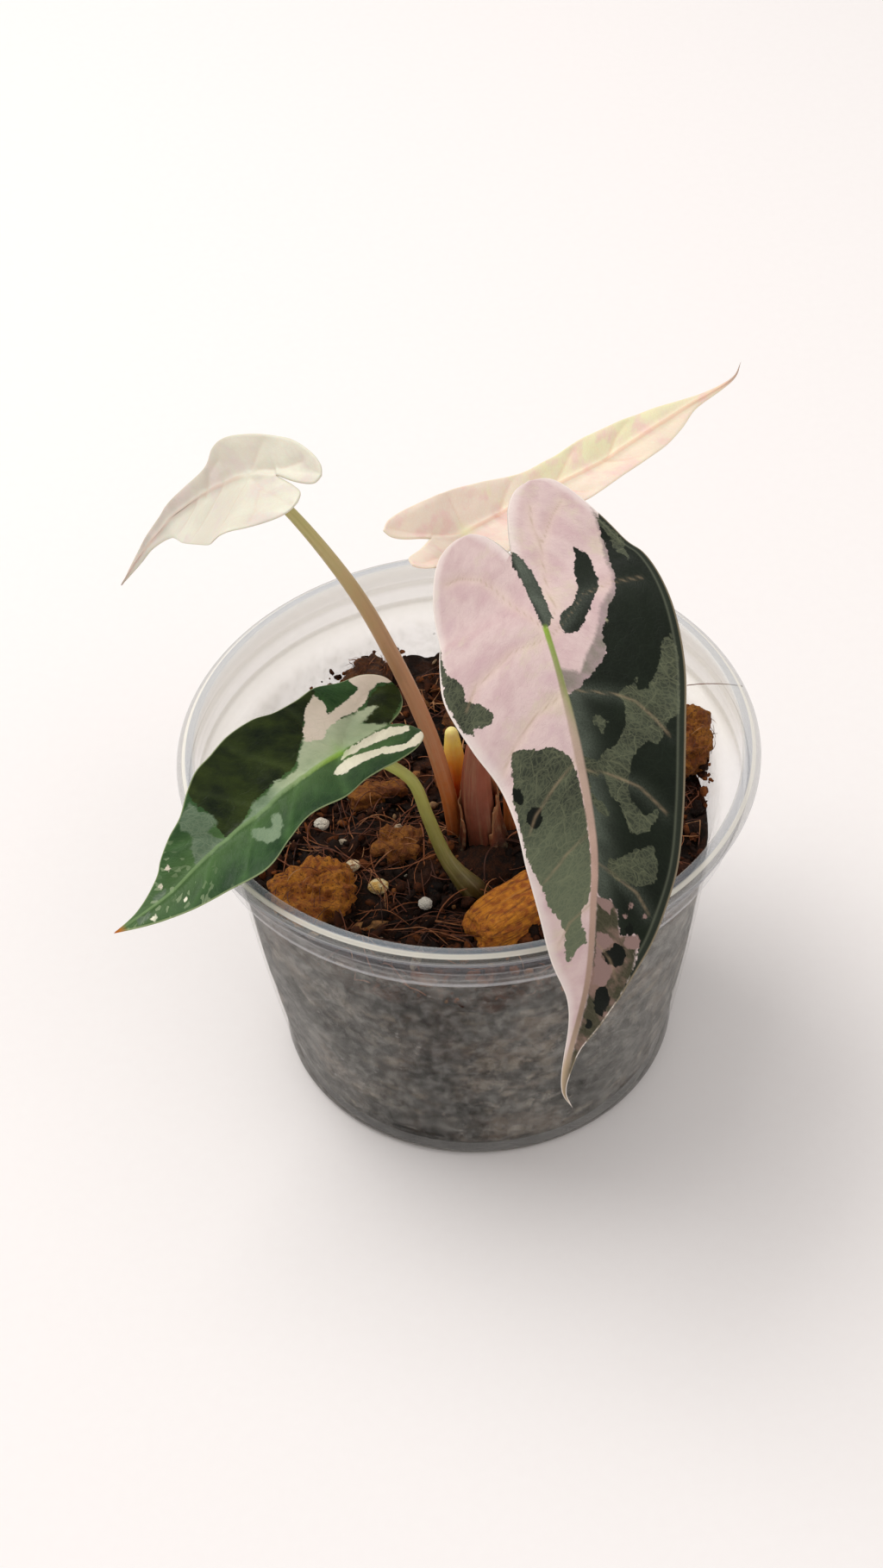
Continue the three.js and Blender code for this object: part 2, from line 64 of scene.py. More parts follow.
# Each spine row is x, y, z, then the lift of the left and the right side at fold_width.
# Outlines, veins and patches are [a, b]: a along the midrib from the stalk, b across, left negative.
LEAVES = {
    "front": {
        "stalk_at": 2,
        "facing": [0, -0.6, 0.8],
        "fold_width": 20,
        "wave": [0.7, 31, 0.4],
        "spine": [
            [9.1, -8, 136.6, 2.4, 2.4], [11.7, -16, 133.6, 1.2, 1.2], [14.4, -24, 132.5, 0.4, 0.4],
            [18, -41, 124.1, 1.2, 1.2], [20.5, -56, 111.1, 2, 2], [20, -63.5, 100.3, 2.2, 2],
            [18.6, -68.5, 86.3, 1.4, 1.6], [15.3, -71, 69.4, 0, 0.4], [14.2, -70.5, 58, 0, 0],
            [15.9, -69, 50.3, 0, 0],
        ],
        "left_notch": [[-24, -5.3], [-22.6, -3.1], [-20.2, -1.3], [-17.5, 0]],
        "right_notch": [[-30, 8], [-29.2, 5], [-26.5, 2.7], [-22.3, 1.2], [-17.5, 0]],
        "left": [
            [-24, -5.3], [-23.4, -9], [-20.6, -12.8], [-15, -15.8], [-7.5, -18.2], [3, -20.5],
            [11, -21.2], [20, -18.4], [27.5, -15], [35, -13.3], [44, -12.2], [54, -9.5], [64, -6.8],
            [72, -3], [79, -1.4], [90, -0.8], [105, 0],
        ],
        "right": [
            [-30, 8], [-28.9, 11.6], [-26, 14], [-20, 17], [-14, 19.4], [-7, 21.6], [2, 22.9],
            [13, 22.1], [24, 19.4], [36, 16.6], [47, 14.2], [57, 11.2], [67, 7.2], [77, 3.9],
            [84, 1.7], [92, 0.8], [105, 0],
        ],
        "veins": [
            [[0, -0.5], [-6.5, -3], [-11.5, -5], [-14.5, -7], [-16, -10.5], [-15.5, -13]],
            [[2, 0], [3, -7.5], [6, -11.5], [8, -15], [13, -18]],
            [[13, 0], [16, -6], [21, -11], [25.5, -14]],
            [[25, 0], [29, -5], [34, -9.5], [38, -11.5]],
            [[38, 0], [42, -5], [48, -9.5]],
            [[51, 0], [55, -4], [60, -6]],
            [[0, 0.5], [-3, 3], [-7.5, 3.5], [-12, 4.5], [-16.5, 5.5], [-21, 5.5], [-25, 6.5]],
            [[-16.5, 5.5], [-21.5, 9.5], [-23.5, 12]],
            [[2, 0.5], [-1, 5], [-3.5, 8.5], [-3.5, 14.5], [-2.5, 19.5]],
            [[12.5, 0.5], [14, 5], [15.5, 9], [17.5, 12], [21, 14.5], [24.5, 16.5]],
            [[27, 0], [29, 5], [32, 9.5], [37, 13.5]],
            [[44, 0.5], [46.5, 4], [49, 7.5], [53, 10]],
            [[58, 0], [62, 3.5], [67, 5.5]],
        ],
    },
    "left": {
        "stalk_at": 1,
        "facing": [0.1, -0.1, 1],
        "fold_width": 14,
        "wave": [0.85, 24, 2.2],
        "spine": [
            [-15.1, -8, 94.8, 4, 4], [-24.6, -15.5, 95.4, 4, 4], [-33.2, -22, 94.6, 4.6, 4.6],
            [-41.6, -28, 91.5, 5, 5], [-49.9, -34, 89, 5, 5], [-56.6, -39, 84.9, 4, 4],
            [-63.2, -43, 82.3, 2, 2], [-68.6, -46, 81, 0, 0],
        ],
        "left_notch": [[-18.9, -5.4], [-17.8, -3], [-15.6, -1.2], [-12.1, 0]],
        "right_notch": [[-15.6, 5], [-15, 3], [-13.8, 1.2], [-12.1, 0]],
        "left": [
            [-18.9, -5.4], [-17.8, -9], [-14, -11.5], [-9, -12.5], [-4, -13.3], [1.5, -12.7],
            [6, -13], [10, -14.4], [15, -14.8], [20.5, -13.6], [24.5, -12.9], [28, -11.4],
            [32, -8.8], [36, -7.6], [40, -6.2], [43, -4.4], [50, -1.4], [56, 0],
        ],
        "right": [
            [-15.6, 5], [-14.4, 7.3], [-10.6, 9.1], [-5, 9.8], [1, 9.2], [7, 10.2], [14, 8.9],
            [20, 10.5], [26, 12.2], [33, 10.7], [41, 6.8], [49, 3], [56, 0],
        ],
        "veins": [
            [[0, 0], [-5, -4], [-11, -7], [-15, -7.5]],
            [[0, 0], [2, -6], [3.5, -12]],
            [[8, 0], [12, -6], [16, -12.5]],
            [[18, 0], [22, -5], [27, -10.5]],
            [[28, 0], [32, -4], [37, -6.5]],
            [[0, 0], [-5, 3.2], [-11, 5]],
            [[1, 0], [4, 4.5], [6, 9]],
            [[11, 0], [16, 5], [20, 9.5]],
            [[21, 0], [27, 5.5], [31, 10]],
            [[32, 0], [37, 4], [42, 5.8]],
        ],
    },
    "back_left": {
        "stalk_at": 1,
        "facing": [-0.05, -0.5, 0.85],
        "fold_width": 10,
        "wave": [0.5, 19, 1.1],
        "spine": [
            [-32.1, -3, 153.6, 3, 3], [-37.6, 0, 151.6, 3, 3], [-45.6, 4.5, 144.7, 3, 3],
            [-54.2, 9, 134.4, 3, 3], [-61.2, 12, 123.4, 2, 2], [-65.8, 13.5, 115.4, 0, 0],
        ],
        "left_notch": [[-15.9, -0.6], [-14.6, 1.1], [-11, 1], [-6.5, 0]],
        "right_notch": [[-13.2, 5], [-12.8, 3], [-10.6, 1.6], [-6.5, 0]],
        "left": [
            [-15.9, -0.6], [-15.2, -2.7], [-12.6, -4.8], [-8, -6.7], [-2, -7.2], [4, -7.6],
            [7.6, -6.8], [11, -4.4], [18, -3.3], [27, -2.6], [38, -1.2], [48.4, 0],
        ],
        "right": [
            [-13.2, 5], [-12, 7.6], [-8.6, 10.2], [-4.6, 12.8], [-1, 14.2], [4.5, 13.2], [11, 11],
            [19, 7.4], [26, 3.2], [33, 1.4], [41, 0.9], [48.4, 0],
        ],
        "veins": [
            [[0, 0], [-2, -1], [-7, -1.5], [-11, -3]],
            [[-0.5, -1], [-3, -6.5]],
            [[12.5, 0.5], [10.5, -3], [7, -4.5]],
            [[0, 0], [-4.5, 3], [-9, 4.5], [-12, 6]],
            [[-4, 3.5], [-5.5, 8], [-6, 11]],
            [[0, 0.5], [2, 6], [3, 11]],
            [[7, 0], [11, 4.5], [14, 8]],
            [[15, 0], [19, 3], [22, 4.5]],
        ],
    },
    "back_right": {
        "stalk_at": 1,
        "facing": [0.1, -0.35, 0.93],
        "fold_width": 10,
        "wave": [0.4, 27, 0.6],
        "spine": [
            [-5.6, 2, 132.7, 3, 3], [1.4, 9, 128.2, 3, 3], [13.4, 19.5, 126.6, 3, 3],
            [26.5, 29, 125.8, 3, 3], [37.2, 37.5, 126.2, 3, 3], [48, 46, 126.9, 2, 2],
            [56.9, 53, 127.3, 0, 0], [59.3, 56.5, 129.3, 0, 0],
        ],
        "left_notch": [[-23.2, -6.2], [-21.4, -4], [-16, -2.2], [-10.9, 0]],
        "right_notch": [[-22.4, 3], [-20.6, 1.4], [-16, 0.4], [-10.9, 0]],
        "left": [
            [-23.2, -6.2], [-21.6, -7.9], [-15, -8.9], [-6, -9.2], [4, -8.7], [15, -7.4],
            [26, -6.1], [36, -5.3], [47, -4.8], [54, -3.4], [60, -1.3], [67, -0.6], [75.8, 0],
        ],
        "right": [
            [-22.4, 3], [-19.4, 5], [-13, 6.6], [-6, 7.8], [1, 8.2], [9, 7.1], [18, 5], [25, 5.2],
            [33, 5.9], [42, 5.3], [51, 3.9], [58, 2.2], [65, 0.9], [75.8, 0],
        ],
        "veins": [
            [[0, 0], [-8, -3.2], [-15, -5.5], [-20, -6.2]],
            [[0, 0], [-2, -5], [-4, -8.5]],
            [[8, 0], [11, -4], [14, -6.6]],
            [[22, 0], [26, -3], [29, -5]],
            [[36, 0], [40, -2.6], [43, -4]],
            [[0, 0], [-7, 1], [-14.5, 1.8], [-20, 3.4]],
            [[0, 0.5], [0.5, 4], [0.5, 7.5]],
            [[9, 0], [13, 3], [16, 4.8]],
            [[23, 0], [28, 3], [31, 4.8]],
            [[37, 0], [41, 2.6], [45, 4]],
        ],
    },
}

# Each stalk row is x, y, z and the stalk's radius there.
STALKS = {
    "left": [
        [1.5, -15.5, 46, 2.6], [0.2, -16.9, 54, 3], [-3.5, -15.8, 60, 1.9], [-5.9, -14.4, 64, 1.5],
        [-8.8, -12.3, 73, 1.3], [-10.8, -11.6, 81, 1.22], [-13.5, -12.2, 86, 1.18],
        [-18, -14.2, 91.5, 1.15], [-24.6, -15.5, 95.4, 1.1],
    ],
    "back_left": [
        [-3, 0, 45, 1.8], [-3.6, 0.2, 58, 1.65], [-5, 1, 69, 1.65], [-8.3, 2.8, 84, 1.65],
        [-14, 3.2, 103, 1.55], [-20.7, 2, 122, 1.4], [-30, 0.5, 141, 1.1], [-37.6, 0, 151.6, 0.9],
    ],
    "front": [
        [3, -5, 46, 3.2], [2.2, -3.4, 58, 3.4], [1.4, -1, 68, 3], [1.9, -0.4, 78, 2.5],
        [4.6, -2.8, 92, 2.2], [9, -9, 108, 2], [12, -16, 122, 1.9], [14.4, -24, 132.5, 1.6],
    ],
    "back_right": [
        [8.6, 0, 46, 2.4], [9.4, 2.6, 58, 2.6], [8.6, 5.6, 72, 2.3], [6.6, 8.6, 92, 2],
        [3.8, 9.8, 112, 1.7], [1.4, 9, 128.2, 1.3],
    ],
}
NEW_SHOOT = [
    [-1.2, 4.2, 46, 1.9], [-1.8, 4.8, 58, 2.1], [-2.4, 5.4, 66, 2.1], [-2.9, 6.4, 72, 2],
    [-3.2, 7.6, 78, 1.2],
]
CORM_AT = [2.5, -8, 47]
CORM_SIZE = [20, 25, 22]

# Husk chips: centre, size, turn about Z and tilt in degrees, tone from dark 0 to golden 1, and
# how crumbly. Perlite: centre, size and tone from white 0 to cream 1.
HUSK_CHIPS = [
    ([-32.8, -17.6, 57.3], [18, 15, 10.5], 25, 12, 1, 1),
    ([9.3, -23.8, 57.4], [24, 11, 9.5], 36, -14, 1, 0),
    ([45.6, 12.4, 66], [10.5, 16, 13], 12, 14, 0.66, 1),
    ([-15.5, -3.6, 55.6], [11, 8, 6], -10, 8, 0.5, 0.8),
    ([-19, 11, 56.5], [13, 6, 5], 15, -6, 0.45, 0.6),
    ([-20.5, 40.5, 62], [11, 8, 8.5], 30, 10, 0.1, 1),
    ([25, -10, 56.5], [14, 9, 7], -35, 8, 0.7, 0.4),
    ([22, 24, 57.5], [16, 10, 7], 50, -9, 0.3, 0.7),
    ([-38, 14, 59.5], [12, 9, 7], 80, 14, 0.25, 0.8),
    ([2, 30, 58.5], [13, 8, 6], -20, 10, 0.2, 0.7),
]
PERLITE = [
    ([-19.6, -15.6, 56.8], 4.4, 1), ([-24.6, -9.5, 56.8], 3.2, 0.6), ([-10.2, -20.4, 56.2], 3.2, 0),
    ([-31, 2.6, 56.8], 3.4, 0.1), ([33, 3, 57.5], 4, 0.3), ([8, 18, 56.8], 3.8, 0.2),
]

# Variegation of the front and the left leaf, as closed outlines in [a, b]
FRONT_DARK = [
    [
        [-20, 18], [-15, 16.5], [-10, 16.4], [-4.5, 15.5], [-2, 14], [0, 12], [2.5, 10.3],
        [4.5, 9], [6.5, 9.3], [8, 9], [10.5, 6], [12.5, 3], [13.5, 0.2], [30, 0.2], [50, 0.4],
        [50.5, 3.2], [52.5, 4.4], [57, 5], [56.5, 7.8], [58.5, 8.4], [63, 8], [67, 6.6], [73, 5],
        [80, 2.6], [88, 0.6], [100, 1], [100, 12], [60, 20], [20, 28], [-10, 28], [-22, 22],
    ],
    [
        [-18, 0.1], [-17, 1], [-14, 2], [-11, 2.6], [-8, 2.6], [-4.5, 2.1], [-2.5, 1.9],
        [-0.5, 1.1], [0.3, 0.1], [-1, -0.6], [-5, -0.3], [-9.5, 0.1], [-12.5, -0.2], [-15, -0.6],
    ],
    [
        [-14, 11], [-12.5, 12.5], [-9.5, 13], [-5.5, 12.5], [-4, 12], [-3, 11], [-1.8, 9.5],
        [-1, 9], [0.5, 7.5], [1.5, 6.5], [2.5, 5.5], [2.5, 3.5], [1.5, 2.6], [-0.5, 2.8],
        [-1.8, 3.6], [-2.5, 6], [-3.5, 7], [-5, 8.5], [-9, 9.5], [-11.5, 10.4],
    ],
]
FRONT_BLOTS = [
    [[28.2, -12.3], [28.8, -11.2], [30.8, -11], [31.6, -11.8], [30.6, -12.8], [29, -12.9]],
    [[32, -9.6], [32.6, -8.4], [34.4, -8.2], [36, -9], [36.4, -10.2], [35, -11.2], [33.4, -11.2]],
    [[58.6, 5.4], [60, 6.4], [62.2, 6], [63.6, 4.8], [62.6, 2.6], [61, 2], [60, 3.5], [58.5, 4]],
    [[54.4, 6.6], [56, 7.6], [57.2, 6.4], [55.6, 5.4]],
    [[68, 1.8], [67.3, 3.5], [69.6, 4.6], [72, 4.4], [74, 4], [73.5, 2.5], [70.5, 1.8]],
    [[75.4, 1.4], [75.2, 2.6], [77.2, 2.6], [77.6, 1.4]],
]
FRONT_NET = [
    [
        [-6.5, -18.9], [2, -19.6], [5, -19.3], [6, -18], [8, -17], [9.5, -17.5], [10.5, -17.5],
        [11.5, -15.5], [13, -14], [14.5, -13], [16, -14], [16.3, -15.5], [16, -17], [17.5, -17.5],
        [17, -19], [14, -20], [10.5, -21], [6, -20.6], [2, -20.4],
    ],
    [
        [22.5, -12], [21.5, -10.5], [22.3, -6.5], [22, -4.5], [23.5, -2.5], [25, -1.2], [31.5, -0.6],
        [43.5, -0.6], [50.5, -0.7], [52.5, -2], [55.5, -2], [57, -1], [59, -1], [60, -2.5],
        [63.5, -4], [60.5, -4.7], [57.5, -4.7], [55.5, -5.5], [53.5, -6.5], [52, -8], [49, -9],
        [44.5, -11], [41.5, -12], [37.5, -12.5], [31, -13], [26.5, -12.3],
    ],
    [
        [13, 13.5], [15.5, 12.6], [15.7, 14.5], [13.5, 16.5], [11, 18], [8.5, 19], [7.5, 21],
        [11, 21.4], [14.5, 20.5], [21, 19], [22, 16.5], [24, 15.5], [25.5, 14], [24.5, 12.5],
        [25.5, 10.5], [27, 9], [29, 8.2], [31.5, 7.5], [34, 7.5], [36, 9], [37, 9.4], [35.5, 12.6],
        [37.5, 11.5], [39.2, 10], [39.5, 7], [38.5, 6.3], [36.5, 6], [34, 5.6], [33.5, 4.5],
        [30.5, 4], [28, 3.4], [26.5, 2.6], [25, 4.5], [24, 7], [21.5, 9], [19, 9.5], [17, 10.2],
        [15.2, 8.6], [14.5, 11.5],
    ],
    [[-18, 16.8], [-15.5, 17], [-13, 17.8], [-10.5, 17.5], [-5, 19], [-10.5, 19.8], [-14, 18.9]],
    [[24.5, 0.4], [25.5, 2], [27, 3.5], [29, 2.5], [28, 1], [31.5, 1], [35, 3.5], [36.5, 3], [33, 0.5]],
    [
        [43, 2.5], [43.5, 4], [42, 7], [41.5, 10.5], [44, 11.2], [47, 11], [48, 7.5], [47.3, 6],
        [47, 4], [45.5, 2.2],
    ],
    [[18, 5], [19, 5], [20, 6.4], [20.5, 5.5], [22, 5], [20.5, 4.5], [19.5, 3.5], [18.5, 4]],
]
FRONT_VEIL = [
    [
        [-20, 16.8], [-15, 16.4], [-10, 15.6], [-4.5, 15], [-3, 14], [-2, 12.5], [-0.5, 10.5],
        [1.5, 9.5], [3.5, 8.5], [5.5, 7], [7, 5.5], [9, 4.5], [10, 3.4], [9, 2], [8.5, 0.3],
        [13.5, 0.3], [13.5, 4], [10, 8], [6, 10], [2, 12.5], [-3, 16], [-10, 17.2], [-17, 17.6],
    ],
    [
        [50, 0.4], [50, 3], [52.5, 4.5], [57, 5], [56.5, 8], [61, 8], [64, 8], [68.5, 6.6],
        [73, 5.4], [80, 3.4], [90, 1.8], [95, 0.4],
    ],
]
FRONT_PINK = [
    [[50, 0.4], [50.5, 3], [51.5, 3.5], [53, 3], [52, 1.5], [51, 0.6]],
    [[57, 6], [56.5, 8], [57.5, 8.5], [59, 8.5], [59.5, 7], [58.5, 5.6]],
    [[56.5, 0.8], [57, 3], [58.5, 4], [60.5, 2], [62, 2], [63, 4.5], [65.5, 4], [67.5, 3], [67.5, 1]],
    [[50.8, 6], [51.8, 6.2], [51.6, 7.2], [50.7, 7]],
    [[52.6, 5.2], [53.6, 5.4], [53.4, 6.1], [52.6, 6]],
    [[52.8, 8.8], [53.6, 8.8], [53.4, 9.6], [52.8, 9.4]],
    [[1.6, 10.5], [2.4, 10.2], [2.8, 11], [2, 11.4]],
]
LEFT_DARK = [
    [
        [10, -15.5], [5, -14], [-3, -14], [-3, -12], [0.5, -10.5], [4.5, -6], [9, -2.8], [14, -2.4],
        [20, -2.4], [24.5, -0.4], [28.5, -0.2], [27.4, -5], [28.3, -9], [28, -13], [22, -16],
    ],
    [[-16, -8], [-19.5, -6], [-17.5, -3], [-12, 0], [-10, -1], [-7.5, -3], [-9.5, -4.6], [-12, -7]],
]
LEFT_CREAM = [
    [
        [-11, -11.8], [-13.5, -13], [-20, -11], [-20, -7], [-18, -7.4], [-15.5, -8.6], [-13.5, -8],
        [-11, -6.5], [-9, -6], [-5.5, -6], [-1.5, -5.5], [1, -4.2], [3, -4.8], [4.8, -5.4],
        [3, -8], [0.5, -10.5], [-2.5, -12], [-3.5, -9.5], [-2.5, -7.5], [-5.5, -8], [-8, -8.5],
        [-11.5, -9.5],
    ],
    [
        [-0.5, 0.2], [-4.5, 0.2], [-8, 0.2], [-11.5, 0.7], [-14.5, 3], [-13.5, 4], [-10, 3],
        [-3.5, 1.6], [1.5, 1.6],
    ],
    [
        [5, 3.5], [2.5, 2.2], [-0.5, 2.3], [-4, 3.2], [-7, 4.2], [-10, 6.6], [-15, 5.6], [-15, 7.6],
        [-11.5, 8.5], [-7.5, 8], [-5, 6], [-1.5, 5.2], [3, 5],
    ],
    [[39.5, -4.4], [40.6, -4.2], [40.3, -3.3], [39.6, -3.5]],
    [[43, -2.8], [44, -2.6], [43.8, -1.8], [43, -2]],
    [[41.2, 3.2], [42, 3.2], [42, 3.9], [41.3, 3.8]],
    [[47.6, 1.6], [48.9, 1.9], [48.6, 2.8], [47.8, 2.4]],
]
LEFT_NET = [
    [
        [4.5, -6], [0, -8.5], [-3, -6], [-11, -5.5], [-12.5, -4.5], [-7.5, -3], [-12, 0], [-0.5, 0],
        [11.5, 0.3], [22, 0], [25, 0], [21.5, -1.2], [20, -2.5], [16.5, -2], [14, -2.5],
        [12, -1.8], [9, -2.2], [6.5, -4.5],
    ],
    [
        [18.5, 2], [17.5, 4], [19, 6.5], [21, 8.3], [23.5, 7.5], [24.5, 3.5], [23.5, 1.7], [22, 3],
        [21, 5], [20, 5], [19.5, 3],
    ],
    [
        [29, -9.5], [28.6, -7], [27.5, -5.5], [27.5, -3.5], [30, -3.4], [29.4, -1.5], [28, 0.2],
        [33, 0.4], [36, 0], [35.5, -1], [34, -3.5], [32.5, -4.5], [33, -7], [32, -8.5],
    ],
    [[43, -1.4], [46, -1.8], [46.5, -0.5], [44, -0.3]],
    [[48, 0.3], [51, 0.3], [51, 1.5], [48.6, 1.4]],
]


# Shapes

def spline(rows, at):
    """Points of the uniform Catmull-Rom curve through rows, at counted in rows from the first.
    Past each end the neighbouring row is mirrored, so that the curve ends on its end rows."""
    rows = np.asarray(rows, float)
    padded = np.vstack([2 * rows[0] - rows[1], rows, 2 * rows[-1] - rows[-2]])
    at = np.clip(at, 0, len(rows) - 1)
    i = np.minimum(at.astype(int), len(rows) - 2)
    w = (at - i)[:, None]
    p0, p1, p2, p3 = padded[i], padded[i + 1], padded[i + 2], padded[i + 3]
    square = (2 * p0 - 5 * p1 + 4 * p2 - p3) * w**2
    cube = (3 * p1 - p0 - 3 * p2 + p3) * w**3
    return 0.5 * (2 * p1 + (p2 - p0) * w + square + cube)


def run_lengths(points):
    """The distance walked along a line of points, from 0 at the first."""
    steps = np.linalg.norm(np.diff(points, axis=0), axis=1)
    return np.concatenate([[0], np.cumsum(steps)])


def even_steps(rows, count):
    """count + 1 points at equal walking distances along the curve through rows."""
    at = np.linspace(0, len(rows) - 1, 1500)
    walked = run_lengths(spline(rows, at))
    return spline(rows, np.interp(np.linspace(0, walked[-1], count + 1), walked, at))


def unit(vectors):
    """Vectors scaled to length 1."""
    return vectors / np.maximum(np.linalg.norm(vectors, axis=-1, keepdims=True), 1e-12)


def hump(distance, width):
    """1 at distance 0, falling off as a bell of that width."""
    return np.exp(-((distance / width) ** 2))


def ease(values, low, high):
    """0 at low, 1 at high, with a smooth start and end."""
    share = np.clip((values - low) / (high - low), 0, 1)
    return share * share * (3 - 2 * share)


def lattice_noise(points, size, seed):
    """Smooth noise from -1 to 1: a fixed random value at each corner of cubes of that size,
    eased between the corners."""
    scaled = points / size
    cell = np.floor(scaled).astype(np.int64)
    part = scaled - cell
    smooth = part * part * (3 - 2 * part)
    total = np.zeros(len(points))
    for corner in np.ndindex(2, 2, 2):
        x, y, z = (cell + corner).T
        key = (x * 73856093 ^ y * 19349663 ^ z * 83492791 ^ seed * 40503) & 0xFFFFFFFF
        key = ((key ^ (key >> 15)) * 2246822519) & 0xFFFFFFFF
        key = ((key ^ (key >> 13)) * 3266489917) & 0xFFFFFFFF
        value = (key ^ (key >> 16)) / 0xFFFFFFFF * 2 - 1
        weight = np.where(np.array(corner) == 1, smooth, 1 - smooth).prod(1)
        total += weight * value
    return total


def rough(points, size, layers, seed):
    """Noise in layers, each half as large and half as strong as the one before."""
    total = np.zeros(len(points))
    for layer in range(layers):
        total += lattice_noise(points, size / 2**layer, seed + layer) / 2**layer
    return total


def inside_distance(a, b, outline):
    """Distance of each point (a, b) to a closed outline, positive inside and negative outside."""
    start = np.asarray(outline, float)
    step = np.roll(start, -1, axis=0) - start
    end = start + step
    away = np.stack([a, b], -1)[:, None] - start
    share = np.clip((away * step).sum(-1) / (step**2).sum(-1), 0, 1)
    distance = np.linalg.norm(away - share[..., None] * step, axis=-1).min(1)
    crosses = (start[:, 1] > b[:, None]) != (end[:, 1] > b[:, None])
    rise = np.where(step[:, 1] == 0, 1, step[:, 1])
    at = start[:, 0] + (b[:, None] - start[:, 1]) / rise * step[:, 0]
    inside = (crosses & (a[:, None] < at)).sum(1) % 2 == 1
    return np.where(inside, distance, -distance)


def patch_distance(a, b, outlines):
    """The largest inside distance to any of the outlines."""
    return np.max([inside_distance(a, b, outline) for outline in outlines], axis=0)


def line_distance(a, b, lines):
    """Distance of each point (a, b) to the nearest of several open lines."""
    nearest = np.full(len(a), 1e3)
    for line in lines:
        start = np.asarray(line[:-1], float)
        step = np.asarray(line[1:], float) - start
        away = np.stack([a, b], -1)[:, None] - start
        share = np.clip((away * step).sum(-1) / (step**2).sum(-1), 0, 1)
        distance = np.linalg.norm(away - share[..., None] * step, axis=-1).min(1)
        nearest = np.minimum(nearest, distance)
    return nearest


def grid_faces(rows, columns, wrap=False, flip=False, first=0):
    """Two triangles for each cell of a grid whose vertex (i, j) is first + i * columns + j.
    wrap joins the last column to the first."""
    i, j = np.meshgrid(np.arange(rows - 1), np.arange(columns - (not wrap)), indexing="ij")
    beside = (j + 1) % columns
    p, q = i * columns + j, (i + 1) * columns + j
    r, s = (i + 1) * columns + beside, i * columns + beside
    faces = first + np.concatenate([np.stack([p, q, r], -1), np.stack([p, r, s], -1)]).reshape(-1, 3)
    return faces[:, ::-1] if flip else faces


def make_piece(name, points, faces, material, slot, nodes=(), values=None):
    """A mesh object from millimetre points and triangles: points that coincide are merged, empty
    triangles dropped, values stored as point attributes, and the piece rides on the plant's body."""
    rounded = np.round(points, 5) + 0.0
    _, kept, inverse = np.unique(rounded, axis=0, return_index=True, return_inverse=True)
    faces = inverse.reshape(-1)[faces]
    p, q, r = faces.T
    faces = faces[(p != q) & (q != r) & (r != p)]
    mesh = bpy.data.meshes.new(name)
    mesh.vertices.add(len(kept))
    mesh.vertices.foreach_set("co", (points[kept] * MM).astype(np.float32).ravel())
    mesh.loops.add(3 * len(faces))
    mesh.loops.foreach_set("vertex_index", faces.astype(np.int32).ravel())
    mesh.polygons.add(len(faces))
    mesh.polygons.foreach_set("loop_start", np.arange(0, 3 * len(faces), 3, dtype=np.int32))
    for key, value in (values or {}).items():
        value = np.asarray(value, np.float32)
        kind = "FLOAT_VECTOR" if value.ndim == 2 else "FLOAT"
        attribute = mesh.attributes.new(key, kind, "POINT")
        attribute.data.foreach_set("vector" if value.ndim == 2 else "value", value[kept].ravel())
    mesh.update(calc_edges=True)
    mesh.validate()
    mesh.shade_smooth()
    mesh.materials.append(material)
    piece = bpy.data.objects.new(name, mesh)
    bpy.context.scene.collection.objects.link(piece)
    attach(piece, "root")
    if nodes:
        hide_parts(*nodes)
    return piece


# Finishes

def srgb(red, green, blue):
    """A colour given from 0 to 255 as the shader's linear red, green, blue, alpha."""
    share = np.array([red, green, blue]) / 255
    linear = np.where(share > 0.04045, ((share + 0.055) / 1.055) ** 2.4, share / 12.92)
    return (*linear.tolist(), 1.0)


class Wire:
    """A node's output, which sums and products with other wires or numbers turn into new nodes."""

    def __init__(self, nodes, socket):
        self.nodes, self.socket = nodes, socket

    def __add__(self, other):
        return self.nodes.math("ADD", self, other)

    def __radd__(self, other):
        return self.nodes.math("ADD", other, self)

    def __sub__(self, other):
        return self.nodes.math("SUBTRACT", self, other)

    def __rsub__(self, other):
        return self.nodes.math("SUBTRACT", other, self)

    def __mul__(self, other):
        return self.nodes.math("MULTIPLY", self, other)

    def __rmul__(self, other):
        return self.nodes.math("MULTIPLY", other, self)

    def __truediv__(self, other):
        return self.nodes.math("DIVIDE", self, other)

    def __rtruediv__(self, other):
        return self.nodes.math("DIVIDE", other, self)

    def __pow__(self, power):
        return self.nodes.math("POWER", self, power)

    def __abs__(self):
        return self.nodes.math("ABSOLUTE", self)


